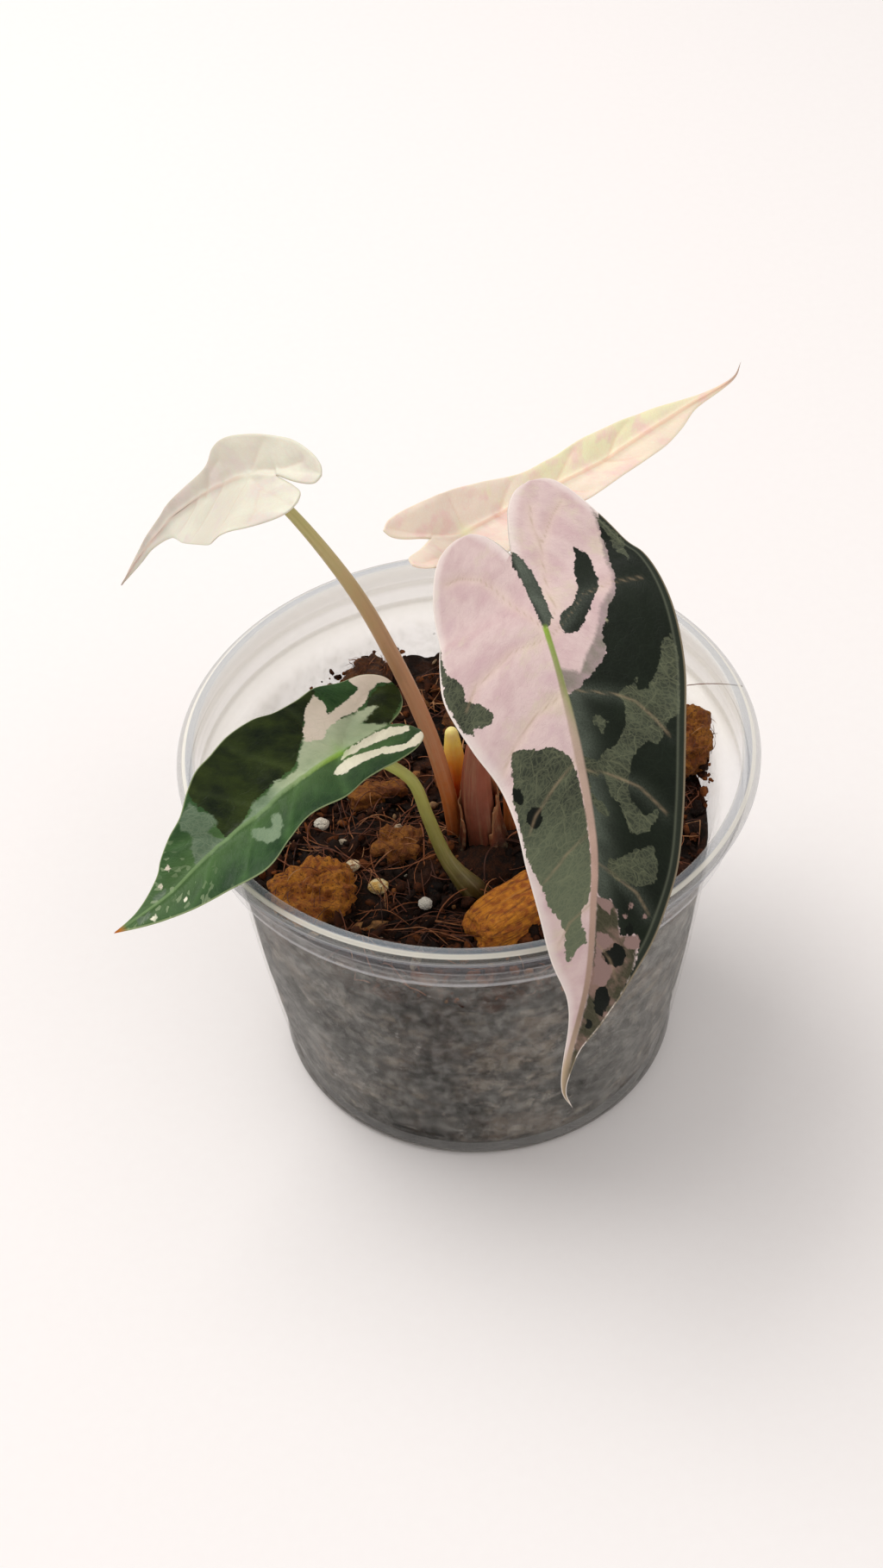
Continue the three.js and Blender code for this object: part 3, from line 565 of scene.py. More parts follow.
class Nodes:
    """Adds nodes to one tree; most methods return the new node's output as a wire."""

    def __init__(self, tree):
        self.tree = tree

    def feed(self, socket, value):
        if isinstance(value, Wire):
            self.tree.links.new(value.socket, socket)
        else:
            socket.default_value = value

    def add(self, kind, inputs=None, **settings):
        node = self.tree.nodes.new(kind)
        for key, value in settings.items():
            setattr(node, key, value)
        for socket, value in (inputs or {}).items():
            self.feed(node.inputs[socket], value)
        return node

    def out(self, kind, inputs=None, output=0, **settings):
        return Wire(self, self.add(kind, inputs, **settings).outputs[output])

    def split(self, kind, value):
        return [Wire(self, socket) for socket in self.add(kind, {0: value}).outputs]

    def math(self, operation, *values, clamp=False):
        return self.out("ShaderNodeMath", dict(enumerate(values)), operation=operation, use_clamp=clamp)

    def most(self, one, other):
        return self.math("MAXIMUM", one, other)

    def mix(self, share, low, high):
        return self.out("ShaderNodeMix", {0: share, 6: low, 7: high}, 2, data_type="RGBA")

    def layers(self, color, *coats):
        """A colour under coats of paint, each a mask and the tone that shows where it is 1."""
        for mask, tone in coats:
            color = self.mix(mask, color, tone)
        return color

    def between(self, share, low, high):
        return self.out("ShaderNodeMix", {0: share, 2: low, 3: high}, data_type="FLOAT")

    def band(self, value, low, high, bottom=0.0, top=1.0):
        inputs = {0: value, 1: low, 2: high, 3: bottom, 4: top}
        return self.out("ShaderNodeMapRange", inputs, interpolation_type="SMOOTHSTEP")

    def hump(self, value, width):
        """1 where the value is 0, falling off as a bell."""
        scaled = value / width
        return self.math("EXPONENT", scaled * scaled * -1.0)

    def value(self, name):
        return self.out("ShaderNodeAttribute", output="Fac", attribute_name=name)

    def vector(self, name):
        return self.out("ShaderNodeAttribute", output="Vector", attribute_name=name)

    def place(self):
        """The point's place in the object's frame, in millimetres."""
        return self.stretch(self.out("ShaderNodeTexCoord", output="Object"), (1000, 1000, 1000))

    def stretch(self, vector, scale):
        return self.out("ShaderNodeVectorMath", {0: vector, 1: scale}, operation="MULTIPLY")

    def noise(self, vector, scale, detail=3.0, roughness=0.5, distortion=0.0, output="Fac"):
        inputs = {
            "Vector": vector, "Scale": scale, "Detail": detail,
            "Roughness": roughness, "Distortion": distortion,
        }
        return self.out("ShaderNodeTexNoise", inputs, output)

    def cells(self, vector, scale, feature="F1", output="Distance"):
        return self.out("ShaderNodeTexVoronoi", {"Vector": vector, "Scale": scale}, output, feature=feature)

    def ramp(self, value, stops):
        """A colour ramp: stops are [position, linear colour]."""
        node = self.add("ShaderNodeValToRGB", {0: value})
        band = node.color_ramp.elements
        band[0].position, band[0].color = stops[0]
        band[1].position, band[1].color = stops[-1]
        for position, color in stops[1:-1]:
            band.new(position).color = color
        return Wire(self, node.outputs[0])

    def tones(self, value, stops):
        """A colour ramp whose stops are [position, red, green, blue], from 0 to 255."""
        return self.ramp(value, [[position, srgb(*tone)] for position, *tone in stops])

    def group(self, tree, **inputs):
        node = self.add("ShaderNodeGroup", node_tree=tree)
        for key, value in inputs.items():
            self.feed(node.inputs[key], value)
        return {socket.name: Wire(self, socket) for socket in node.outputs}


def new_group(name, inputs, outputs):
    """An empty node group with float or vector inputs and outputs; returns its nodes and both ends."""
    tree = bpy.data.node_groups.new(name, "ShaderNodeTree")
    kinds = {"float": "NodeSocketFloat", "vector": "NodeSocketVector"}
    for key, kind in inputs.items():
        tree.interface.new_socket(key, in_out="INPUT", socket_type=kinds[kind])
    for key, kind in outputs.items():
        tree.interface.new_socket(key, in_out="OUTPUT", socket_type=kinds[kind])
    nodes = Nodes(tree)
    given = {socket.name: Wire(nodes, socket) for socket in nodes.add("NodeGroupInput").outputs}
    return nodes, given, nodes.add("NodeGroupOutput").inputs


def finish_group_leaf_net():
    """Leaf net: coarse and fine vein meshes over a blade, and a random value for each fine cell.
    Along and Across are the leaf coordinates in millimetres; Size is the fine cell's size."""
    nodes, given, made = new_group(
        "leaf net",
        {"Along": "float", "Across": "float", "Size": "float"},
        {"Flat": "vector", "Coarse": "float", "Fine": "float", "Cell": "float", "Cloud": "float"},
    )
    slanted = given["Along"] - abs(given["Across"] * 0.55)
    flat = nodes.out("ShaderNodeCombineXYZ", {0: slanted, 1: given["Across"]})
    sway = nodes.noise(flat, 0.5, 2.0, output="Color")
    centred = nodes.out("ShaderNodeVectorMath", {0: sway, 1: (0.5, 0.5, 0.5)}, operation="SUBTRACT")
    pushed = nodes.stretch(centred, (1.6, 1.6, 0.0))
    bent = nodes.out("ShaderNodeVectorMath", {0: flat, 1: pushed}, operation="ADD")
    coarse = nodes.cells(nodes.stretch(bent, (0.4, 0.26, 1.0)), 1.0, "DISTANCE_TO_EDGE")
    middle = nodes.cells(nodes.stretch(bent, (0.8, 0.55, 1.0)), 1.0, "DISTANCE_TO_EDGE")
    scale = 1.0 / given["Size"]
    fine = nodes.cells(bent, scale, "DISTANCE_TO_EDGE")
    cell = nodes.cells(bent, scale, "F1", "Color")
    large = nodes.band(coarse, 0.0, 0.04, 0.8, 0.0)
    less = nodes.band(middle, 0.0, 0.055, 0.5, 0.0)
    nodes.feed(made["Flat"], flat)
    nodes.feed(made["Coarse"], nodes.most(large, less))
    nodes.feed(made["Fine"], nodes.band(fine, 0.0, 0.15, 1.0, 0.0))
    nodes.feed(made["Cell"], nodes.split("ShaderNodeSeparateColor", cell)[0])
    nodes.feed(made["Cloud"], nodes.noise(flat, 0.16, 4.0, 0.55))
    return nodes.tree


def finish_group_ragged_mask():
    """Ragged mask: turns the distance to a patch's outline into a mask whose edge follows the
    leaf's cells and a noise. Ragged is how far the edge strays, in millimetres."""
    nodes, given, made = new_group(
        "ragged mask",
        {"Distance": "float", "Cell": "float", "Flat": "vector", "Ragged": "float", "Soft": "float"},
        {"Mask": "float"},
    )
    stray = (nodes.noise(given["Flat"], 0.9, 3.0, 0.6) - 0.5) * 2.4
    jump = (given["Cell"] - 0.5) * 0.45
    moved = (stray + jump) * given["Ragged"] + given["Distance"]
    nodes.feed(made["Mask"], nodes.band(moved, given["Soft"] * -1.0, given["Soft"]))
    return nodes.tree


def finish_group_grit():
    """Grit: three sizes of noise and small pits for earthy surfaces. Size is the largest lump."""
    nodes, given, made = new_group(
        "grit", {"Vector": "vector", "Size": "float"}, {"Lumps": "float", "Grain": "float", "Pits": "float"}
    )
    scale = 1.0 / given["Size"]
    nodes.feed(made["Lumps"], nodes.noise(given["Vector"], scale, 5.0, 0.6))
    nodes.feed(made["Grain"], nodes.noise(given["Vector"], scale * 6.0, 4.0, 0.7))
    nodes.feed(made["Pits"], nodes.cells(given["Vector"], scale * 4.0))
    return nodes.tree


LEAF_NET = finish_group_leaf_net()
RAGGED = finish_group_ragged_mask()
GRIT = finish_group_grit()


def new_finish(name):
    """A material with one Principled BSDF; returns the material, its nodes and the shader."""
    material = bpy.data.materials.new(name)
    material.use_nodes = True
    material.node_tree.nodes.clear()
    nodes = Nodes(material.node_tree)
    shader = nodes.add("ShaderNodeBsdfPrincipled")
    output = nodes.add("ShaderNodeOutputMaterial")
    nodes.tree.links.new(shader.outputs[0], output.inputs["Surface"])
    return material, nodes, shader


def set_finish(nodes, shader, color, roughness, height=None, depth=0.2, strength=1.0, gloss=0.5):
    """Feeds colour and roughness, sets how strongly the surface mirrors, and adds a bump whose
    height 1 stands depth millimetres proud."""
    nodes.feed(shader.inputs["Base Color"], color)
    nodes.feed(shader.inputs["Roughness"], roughness)
    shader.inputs["Specular IOR Level"].default_value = gloss
    if height is not None:
        inputs = {"Height": height, "Distance": depth * MM, "Strength": strength}
        nodes.feed(shader.inputs["Normal"], nodes.out("ShaderNodeBump", inputs))


def leaf_nodes(name, cell_size):
    """Starts a leaf's material: its nodes, shader, leaf values and net."""
    material, nodes, shader = new_finish(name)
    leaf = {key: nodes.value(key) for key in ("along", "across", "edge", "vein", "under")}
    leaf["rib"] = abs(leaf["across"])
    net = nodes.group(LEAF_NET, Along=leaf["along"], Across=leaf["across"], Size=cell_size)
    return material, nodes, shader, leaf, net


def patch_mask(nodes, net, name, ragged, soft):
    """The ragged mask of the patches whose outline distance is stored under that name."""
    given = {"Distance": nodes.value(name), "Cell": net["Cell"], "Flat": net["Flat"]}
    return nodes.group(RAGGED, Ragged=ragged, Soft=soft, **given)["Mask"]


def front_leaf_finish():
    """Pink and near-black green variegation with grey netted patches, a lime to pink midrib and
    pale margins. Pale grey streaks beside the midrib and along the veins of the dark patch are a
    painted highlight."""
    material, nodes, shader, leaf, net = leaf_nodes("front leaf", 0.85)
    cloud = net["Cloud"]
    near_vein = nodes.hump(leaf["vein"], 1.1)
    lower = nodes.band(leaf["along"], 38.0, 52.0)
    right = nodes.band(leaf["across"], -0.6, 0.6)
    grain = nodes.noise(net["Flat"], 3.2, 2.0, 0.7)
    mesh_lines = nodes.most(net["Fine"] * 0.48, net["Coarse"])
    pink = nodes.layers(
        nodes.tones(cloud, [
            [0.25, 202, 170, 174], [0.42, 208, 180, 180], [0.56, 218, 194, 191],
            [0.68, 211, 184, 185], [0.8, 205, 173, 178],
        ]),
        (nodes.band(nodes.noise(net["Flat"], 0.11, 4.0, 0.65), 0.52, 0.68, 0.0, 0.55), srgb(214, 202, 178)),
        (near_vein * 0.35, srgb(230, 208, 190)),
        (mesh_lines * 0.06, srgb(206, 168, 170)),
        (nodes.band(leaf["edge"], 2.6, 0.4, 0.0, 0.5), srgb(244, 234, 228)),
    )
    veil = nodes.mix(nodes.band(cloud, 0.35, 0.65), srgb(170, 146, 150), srgb(132, 124, 114))
    veil = nodes.mix(net["Fine"] * 0.25, veil, srgb(160, 152, 142))
    dusk = nodes.mix(nodes.band(cloud, 0.36, 0.56), srgb(142, 114, 104), srgb(66, 64, 48))
    dusk = nodes.mix(mesh_lines * 0.2, dusk, srgb(130, 124, 100))
    left_low = (1.0 - right) * nodes.band(leaf["along"], 28.0, 52.0)
    netted = nodes.layers(
        nodes.mix(nodes.band(cloud, 0.35, 0.68), srgb(38, 44, 34), srgb(68, 74, 57)),
        (left_low * 0.7, srgb(114, 124, 98)),
        (grain * 0.26, srgb(100, 102, 88)),
        (mesh_lines * 0.36, srgb(144, 147, 114)),
    )
    # Painted highlight: pale grey streaks beside the midrib on the right and along the veins of the dark
    # patch.
    silver_highlight = nodes.hump(leaf["rib"], 3.0) * nodes.band(cloud, 0.25, 0.7, 0.4, 0.9)
    silver_highlight = silver_highlight * right * nodes.band(grain, 0.2, 0.7, 0.5, 1.0)
    lit_vein = nodes.hump(leaf["vein"], 1.5) * nodes.hump(leaf["rib"], 12.0)
    lit_vein = lit_vein * nodes.band(grain, 0.3, 0.7, 0.15, 0.5)
    dark = nodes.layers(
        nodes.mix(cloud, srgb(12, 16, 11), srgb(26, 34, 22)),
        (mesh_lines * 0.05, srgb(80, 96, 76)),
        (nodes.most(silver_highlight, lit_vein), srgb(104, 112, 100)),
        (nodes.band(leaf["edge"], 1.9, 1.3, 0.0, 0.35), srgb(60, 66, 56)),
    )
    is_dark = patch_mask(nodes, net, "dark", 0.5, 0.1)
    thread = nodes.hump(leaf["vein"], 0.26) * nodes.band(leaf["edge"], 1.4, 4.0)
    edge_vein = nodes.hump(leaf["edge"] - 1.5, 0.24) * right * is_dark
    slim = nodes.band(leaf["along"], 4.0, 26.0, 0.6, 1.0)
    rib_width = nodes.band(leaf["along"], 0.0, 80.0, 1.0, 0.55) * slim
    rib = nodes.band(leaf["rib"] / rib_width, 1.15, 0.5) * nodes.band(leaf["along"], -1.2, 0.4)
    rib_tone = nodes.tones((leaf["along"] + 5.0) / 100.0, [
        [0.05, 146, 178, 62], [0.09, 142, 156, 88], [0.15, 152, 146, 108], [0.24, 182, 160, 144],
        [0.5, 190, 158, 144], [0.8, 156, 132, 114], [1.0, 206, 184, 160],
    ])
    green_side = right * nodes.band(leaf["along"], 26.0, 8.0)
    rib_tone = nodes.mix(green_side * 0.6, rib_tone, srgb(122, 144, 62))
    spot_tone = nodes.mix(lower, srgb(150, 146, 120), srgb(146, 120, 114))
    blot_tone = nodes.mix(cloud, srgb(6, 9, 5), srgb(16, 22, 14))
    tip_tone = nodes.mix(right, srgb(196, 172, 140), srgb(112, 100, 78))
    rim_tone = nodes.mix(right * is_dark, srgb(244, 234, 226), srgb(150, 136, 112))
    color = nodes.layers(
        pink,
        (patch_mask(nodes, net, "veil", 0.4, 0.45), nodes.mix(lower, veil, dusk)),
        (is_dark, dark),
        (patch_mask(nodes, net, "net", 0.55, 0.1), netted),
        (patch_mask(nodes, net, "spots", 0.45, 0.15), spot_tone),
        (patch_mask(nodes, net, "blots", 0.5, 0.1), blot_tone),
        (thread * 0.42, srgb(164, 142, 114)),
        (edge_vein * 0.4, srgb(112, 116, 98)),
        (rib, rib_tone),
        (nodes.band(leaf["along"], 82.0, 90.0) * 0.85, tip_tone),
        (nodes.band(leaf["edge"], 0.5, 0.18) * 0.8, rim_tone),
        (leaf["under"] * 0.45, srgb(146, 136, 120)),
    )
    sheen = nodes.band(cloud, 0.3, 0.7, 0.42, 0.56)
    height = net["Cell"] * 0.25 - mesh_lines * 0.3
    set_finish(nodes, shader, color, sheen, height, 0.12, 0.8, 0.12)
    return material


def left_leaf_finish():
    """Glossy deep green with a darker upper half, grey-green netted patches and cream streaks."""
    material, nodes, shader, leaf, net = leaf_nodes("left leaf", 0.9)
    cloud = net["Cloud"]
    clouded = nodes.band(cloud, 0.3, 0.7)
    lines = nodes.most(net["Fine"] * 0.4, net["Coarse"])
    near_vein = nodes.hump(leaf["vein"], 0.8)
    rib_side = nodes.hump(leaf["rib"], 4.5)
    green = nodes.layers(
        nodes.mix(clouded, srgb(28, 56, 28), srgb(54, 86, 46)),
        (lines * 0.12, srgb(96, 130, 80)),
        (near_vein * 0.16, srgb(110, 150, 90)),
        (rib_side * 0.4, srgb(100, 132, 76)),
    )
    deep = nodes.layers(
        nodes.mix(clouded, srgb(8, 20, 6), srgb(46, 58, 16)),
        (near_vein * 0.14, srgb(96, 112, 60)),
        (lines * 0.07, srgb(80, 100, 50)),
    )
    outer = nodes.mix(nodes.band(leaf["along"], 22.0, 30.0), srgb(120, 142, 112), srgb(88, 108, 84))
    netted = nodes.layers(
        nodes.mix(nodes.band(cloud, 0.35, 0.65), srgb(162, 175, 146), srgb(190, 198, 168)),
        (rib_side * 0.32, srgb(150, 178, 122)),
        (nodes.band(leaf["along"], 13.0, 18.0), outer),
        (lines * 0.22, srgb(180, 192, 158)),
    )
    cream = nodes.layers(
        nodes.mix(nodes.band(leaf["across"], -3.0, 0.0), srgb(226, 212, 196), srgb(246, 242, 218)),
        (nodes.band(cloud, 0.4, 0.7) * 0.4, srgb(206, 200, 178)),
        (lines * 0.15, srgb(190, 190, 156)),
    )
    flecks = nodes.band(leaf["along"], 30.0, 42.0) * nodes.band(net["Cell"], 0.86, 0.93)
    rib_width = nodes.band(leaf["along"], 0.0, 50.0, 0.62, 0.34)
    rib = nodes.band(leaf["rib"] / rib_width, 1.2, 0.4) * nodes.band(leaf["along"], -1.0, 0.5)
    rib_tone = nodes.mix(nodes.band(leaf["along"], 0.0, 14.0), srgb(150, 186, 70), srgb(120, 148, 96))
    star = nodes.hump(leaf["rib"] + abs(leaf["along"]), 2.2)
    color = nodes.layers(
        green,
        (patch_mask(nodes, net, "dark", 0.6, 0.12), deep),
        (patch_mask(nodes, net, "net", 0.55, 0.3), netted),
        (patch_mask(nodes, net, "cream", 0.45, 0.12), cream),
        (flecks * 0.55, srgb(150, 166, 128)),
        (rib * 0.75, rib_tone),
        (star * 0.55, srgb(124, 172, 66)),
        (nodes.band(leaf["edge"], 0.36, 0.1) * 0.6, srgb(176, 190, 140)),
        (nodes.band(leaf["along"], 53.0, 55.2), srgb(196, 112, 30)),
        (leaf["under"] * 0.5, srgb(120, 134, 92)),
    )
    sheen = nodes.band(cloud, 0.3, 0.7, 0.34, 0.48)
    height = net["Cell"] * 0.25 - lines * 0.35
    set_finish(nodes, shader, color, sheen, height, 0.14, 0.8, 0.16)
    return material


def pale_leaf_finish(name, body, warm, blush, vein_tone, tip_at, tip_tone, rim_tone):
    """A nearly white leaf: body to blush along its length, a warm band, tinted veins and a dry tip.
    On the white leaf the body tones grey towards the tip as painted shade.
    """
    material, nodes, shader, leaf, net = leaf_nodes(name, 0.8)
    cloud = net["Cloud"]
    along = leaf["along"] / tip_at
    drift = along + (cloud - 0.5) * 0.8
    warmth = nodes.band(leaf["across"], -2.5, 3.5) * nodes.band(drift, 0.05, 0.4)
    warmth = warmth * nodes.band(drift, 1.0, 0.75)
    lines = nodes.hump(leaf["vein"], 0.28) * nodes.band(leaf["edge"], 0.3, 4.0, 0.02, 0.25)
    rib = nodes.band(leaf["rib"], 0.6, 0.2) * nodes.band(leaf["along"], -1.0, 0.3)
    junction = nodes.hump(leaf["rib"] + abs(leaf["along"]), 2.2)
    color = nodes.layers(
        # Body tones along the leaf; on the white leaf their greying towards the tip is painted shade.
        nodes.tones(drift * 0.7 + 0.25, body),
        (warmth * 0.75, warm),
        (nodes.band(nodes.noise(net["Flat"], 0.18, 4.0), 0.48, 0.66, 0.0, 0.75), blush),
        (nodes.most(net["Coarse"], net["Fine"]) * 0.09, vein_tone),
        (lines, vein_tone),
        (rib * 0.4, vein_tone),
        (junction * 0.7, warm),
        (nodes.band(leaf["edge"], 0.5, 0.1) * 0.5, rim_tone),
        (nodes.band(along, 0.9, 1.02, 0.0, 0.9), tip_tone),
        (leaf["under"] * 0.25, blush),
    )
    sheen = nodes.band(cloud, 0.3, 0.7, 0.42, 0.56)
    set_finish(nodes, shader, color, sheen, cloud * 0.5 - lines * 0.5, 0.2, 0.7)
    shader.inputs["Subsurface Weight"].default_value = 0.12
    shader.inputs["Subsurface Scale"].default_value = 0.002
    return material


def stalk_finish(name, stops, ribs):
    """A smooth juicy stalk, coloured along its length, with fine lengthwise streaks."""
    material, nodes, shader = new_finish(name)
    share, turn = nodes.value("share"), nodes.value("turn")
    place = nodes.place()
    mottle = nodes.noise(place, 0.45, 4.0, 0.6)
    streak_at = nodes.out("ShaderNodeCombineXYZ", {0: turn * 9.0, 1: share * 3.0})
    streaks = nodes.noise(streak_at, 1.6, 3.0, 0.6)
    color = nodes.layers(
        nodes.tones((mottle - 0.5) * 0.12 + share, stops),
        (nodes.band(streaks, 0.45, 0.8, 0.0, 0.2), srgb(226, 206, 160)),
        (nodes.band(streaks, 0.5, 0.2, 0.0, 0.2), srgb(110, 66, 44)),
        (nodes.band(nodes.cells(place, 0.9), 0.14, 0.06, 0.0, 0.2), srgb(96, 60, 44)),
    )
    height = streaks * ribs + mottle * 0.3
    set_finish(nodes, shader, color, nodes.band(mottle, 0.3, 0.7, 0.32, 0.48), height, 0.3, 0.8, 0.35)
    shader.inputs["Subsurface Weight"].default_value = 0.15
    shader.inputs["Subsurface Scale"].default_value = 0.0015
    return material


def earth_finish(name, dark, mid, pale, size):
    """Earthy matter: lumps from dark to pale with gritty grain."""
    material, nodes, shader = new_finish(name)
    grit = nodes.group(GRIT, Vector=nodes.place(), Size=size)
    lumps, grain = grit["Lumps"], grit["Grain"]
    color = nodes.layers(
        nodes.mix(nodes.band(lumps, 0.38, 0.62), dark, mid),
        (nodes.band(grain, 0.52, 0.74, 0.0, 0.7), pale),
        (nodes.band(grit["Pits"], 0.28, 0.05, 0.0, 0.6), dark),
    )
    dull = nodes.band(lumps, 0.35, 0.65, 0.7, 0.95)
    set_finish(nodes, shader, color, dull, lumps + grain * 0.5, 0.9, 0.9, 0.15)
    return material


def mix_finish():
    """Dark brown-black potting mix with paler bark flecks. Where it presses on the cup it is
    greyer, with flat flakes of bark, crusts and dark blotches."""
    material, nodes, shader = new_finish("potting mix")
    place = nodes.place()
    at_wall = nodes.value("at_wall")
    grit = nodes.group(GRIT, Vector=place, Size=3.4)
    lumps, grain = grit["Lumps"], grit["Grain"]
    slabs = nodes.stretch(place, (1.0, 1.0, 1.6))
    flake = nodes.split("ShaderNodeSeparateColor", nodes.cells(slabs, 0.22, "F1", "Color"))
    shape = nodes.band(nodes.cells(slabs, 0.22), 0.75, 0.2) * at_wall
    gathered = nodes.band(nodes.noise(place, 0.05, 3.0), 0.42, 0.6, 0.12, 0.75)
    bits = nodes.band(nodes.noise(place, 0.26, 6.0, 0.72), 0.5, 0.66) * gathered
    crust = nodes.band(nodes.noise(place, 0.07, 5.0, 0.7), 0.54, 0.64, 0.0, 0.5)
    blotch = nodes.band(nodes.noise(place, 0.07, 5.0, 0.66), 0.42, 0.56, 0.9, 0.0)
    color = nodes.layers(
        nodes.mix(nodes.band(lumps, 0.36, 0.64), srgb(14, 7, 4), srgb(46, 25, 13)),
        (nodes.band(nodes.noise(place, 0.09, 3.0), 0.45, 0.7, 0.0, 0.7), srgb(84, 43, 20)),
        (nodes.band(grain, 0.55, 0.75, 0.0, 0.5), srgb(112, 66, 34)),
        (at_wall * 0.72, srgb(46, 41, 36)),
        (nodes.band(flake[0], 0.62, 0.85) * shape * 0.6, srgb(112, 98, 80)),
        (nodes.band(flake[1], 0.94, 0.97) * shape * 0.6, srgb(160, 152, 138)),
        (bits * at_wall, srgb(142, 130, 114)),
        (crust * at_wall, srgb(124, 108, 92)),
        (blotch * at_wall, srgb(10, 8, 7)),
        (nodes.band(grit["Pits"], 0.3, 0.05, 0.0, 0.6), srgb(14, 10, 8)),
    )
    dull = nodes.band(lumps, 0.3, 0.7, 0.7, 0.95)
    set_finish(nodes, shader, color, dull, lumps + grain * 0.6, 1.2, 1.0, 0.25)
    return material


def crumb_finish():
    """Loose crumbs: each its own tone, from black peat over brown bark to a few pale grains."""
    material, nodes, shader = new_finish("crumbs")
    grit = nodes.group(GRIT, Vector=nodes.place(), Size=1.2)
    color = nodes.tones(nodes.value("tone"), [
        [0.0, 12, 6, 3], [0.35, 34, 17, 8], [0.62, 78, 40, 20], [0.85, 142, 80, 36],
        [0.95, 160, 118, 74], [1.0, 222, 212, 190],
    ])
    color = nodes.mix(nodes.band(grit["Lumps"], 0.6, 0.35, 0.0, 0.6), color, srgb(14, 7, 4))
    dull = nodes.band(grit["Lumps"], 0.3, 0.7, 0.7, 0.95)
    set_finish(nodes, shader, color, dull, grit["Lumps"] + grit["Grain"] * 0.5, 0.5, 1.0, 0.2)
    return material


def fibre_finish():
    """Coir fibres: dry tan to dark brown, each its own tone."""
    material, nodes, shader = new_finish("coir fibres")
    mottle = nodes.noise(nodes.place(), 0.6, 3.0)
    color = nodes.tones(nodes.value("tone"), [
        [0.0, 52, 23, 12], [0.5, 112, 57, 28], [0.85, 160, 94, 50], [1.0, 204, 152, 104],
    ])
    color = nodes.mix(nodes.band(mottle, 0.4, 0.7, 0.0, 0.5), color, srgb(60, 36, 24))
    set_finish(nodes, shader, color, nodes.band(mottle, 0.3, 0.7, 0.5, 0.75), mottle, 0.1)
    return material


def husk_finish():
    """Coconut husk: orange-brown pith with darker long fibres along the chip. Crumbly chips show
    holes instead of fibres, painted dark inside as painted shade. Each chip is painted dark from
    just above the mix's surface down into it, a painted shade where it meets the mix."""
    material, nodes, shader = new_finish("coconut husk")
    along = nodes.vector("grain")
    streaks = nodes.noise(nodes.stretch(along, (0.1, 1.1, 1.1)), 1.0, 4.0, 0.65, 0.4)
    pith = nodes.noise(along, 0.5, 4.0, 0.6)
    fluff = nodes.noise(along, 1.5, 5.0, 0.7)
    crumbly = nodes.value("crumbly")
    streaky = 1.0 - crumbly * 0.75
    golden = nodes.mix(nodes.band(pith, 0.35, 0.65), srgb(170, 88, 12), srgb(222, 142, 38))
    brown = nodes.mix(nodes.band(pith, 0.35, 0.65), srgb(44, 22, 10), srgb(92, 50, 24))
    color = nodes.layers(
        nodes.mix(nodes.value("tone"), brown, golden),
        (nodes.band(streaks, 0.5, 0.32, 0.0, 0.7) * streaky, srgb(96, 46, 16)),
        (nodes.band(streaks, 0.58, 0.75, 0.0, 0.55) * streaky, srgb(216, 156, 84)),
        # Painted shade: the holes of crumbly chips are painted dark.
        (nodes.band(fluff, 0.5, 0.32, 0.0, 0.8) * crumbly, srgb(44, 19, 6)),
        (nodes.band(fluff, 0.62, 0.78, 0.0, 0.6), srgb(214, 156, 84)),
        # Painted shade where the chip meets the mix, from just above its surface down.
        (nodes.value("buried") * 0.85, srgb(34, 17, 9)),
    )
    height = streaks * streaky + fluff * (crumbly * 1.2 + 0.2)
    set_finish(nodes, shader, color, nodes.band(pith, 0.3, 0.7, 0.7, 0.95), height, 1.2)
    return material


def perlite_finish():
    """Off-white popped mineral with pores and a little peat dust."""
    material, nodes, shader = new_finish("perlite")
    grit = nodes.group(GRIT, Vector=nodes.place(), Size=1.4)
    lumps = grit["Lumps"]
    white = nodes.mix(lumps, srgb(206, 200, 186), srgb(240, 236, 226))
    cream = nodes.mix(nodes.band(lumps, 0.42, 0.6), srgb(222, 176, 96), srgb(240, 222, 172))
    color = nodes.layers(
        nodes.mix(nodes.value("tone"), white, cream),
        (nodes.band(grit["Pits"], 0.3, 0.05, 0.0, 0.4), srgb(150, 122, 88)),
        (nodes.band(grit["Grain"], 0.66, 0.82, 0.0, 0.5), srgb(96, 66, 44)),
    )
    set_finish(nodes, shader, color, nodes.band(lumps, 0.3, 0.7, 0.7, 0.95), grit["Pits"], 0.3)
    return material


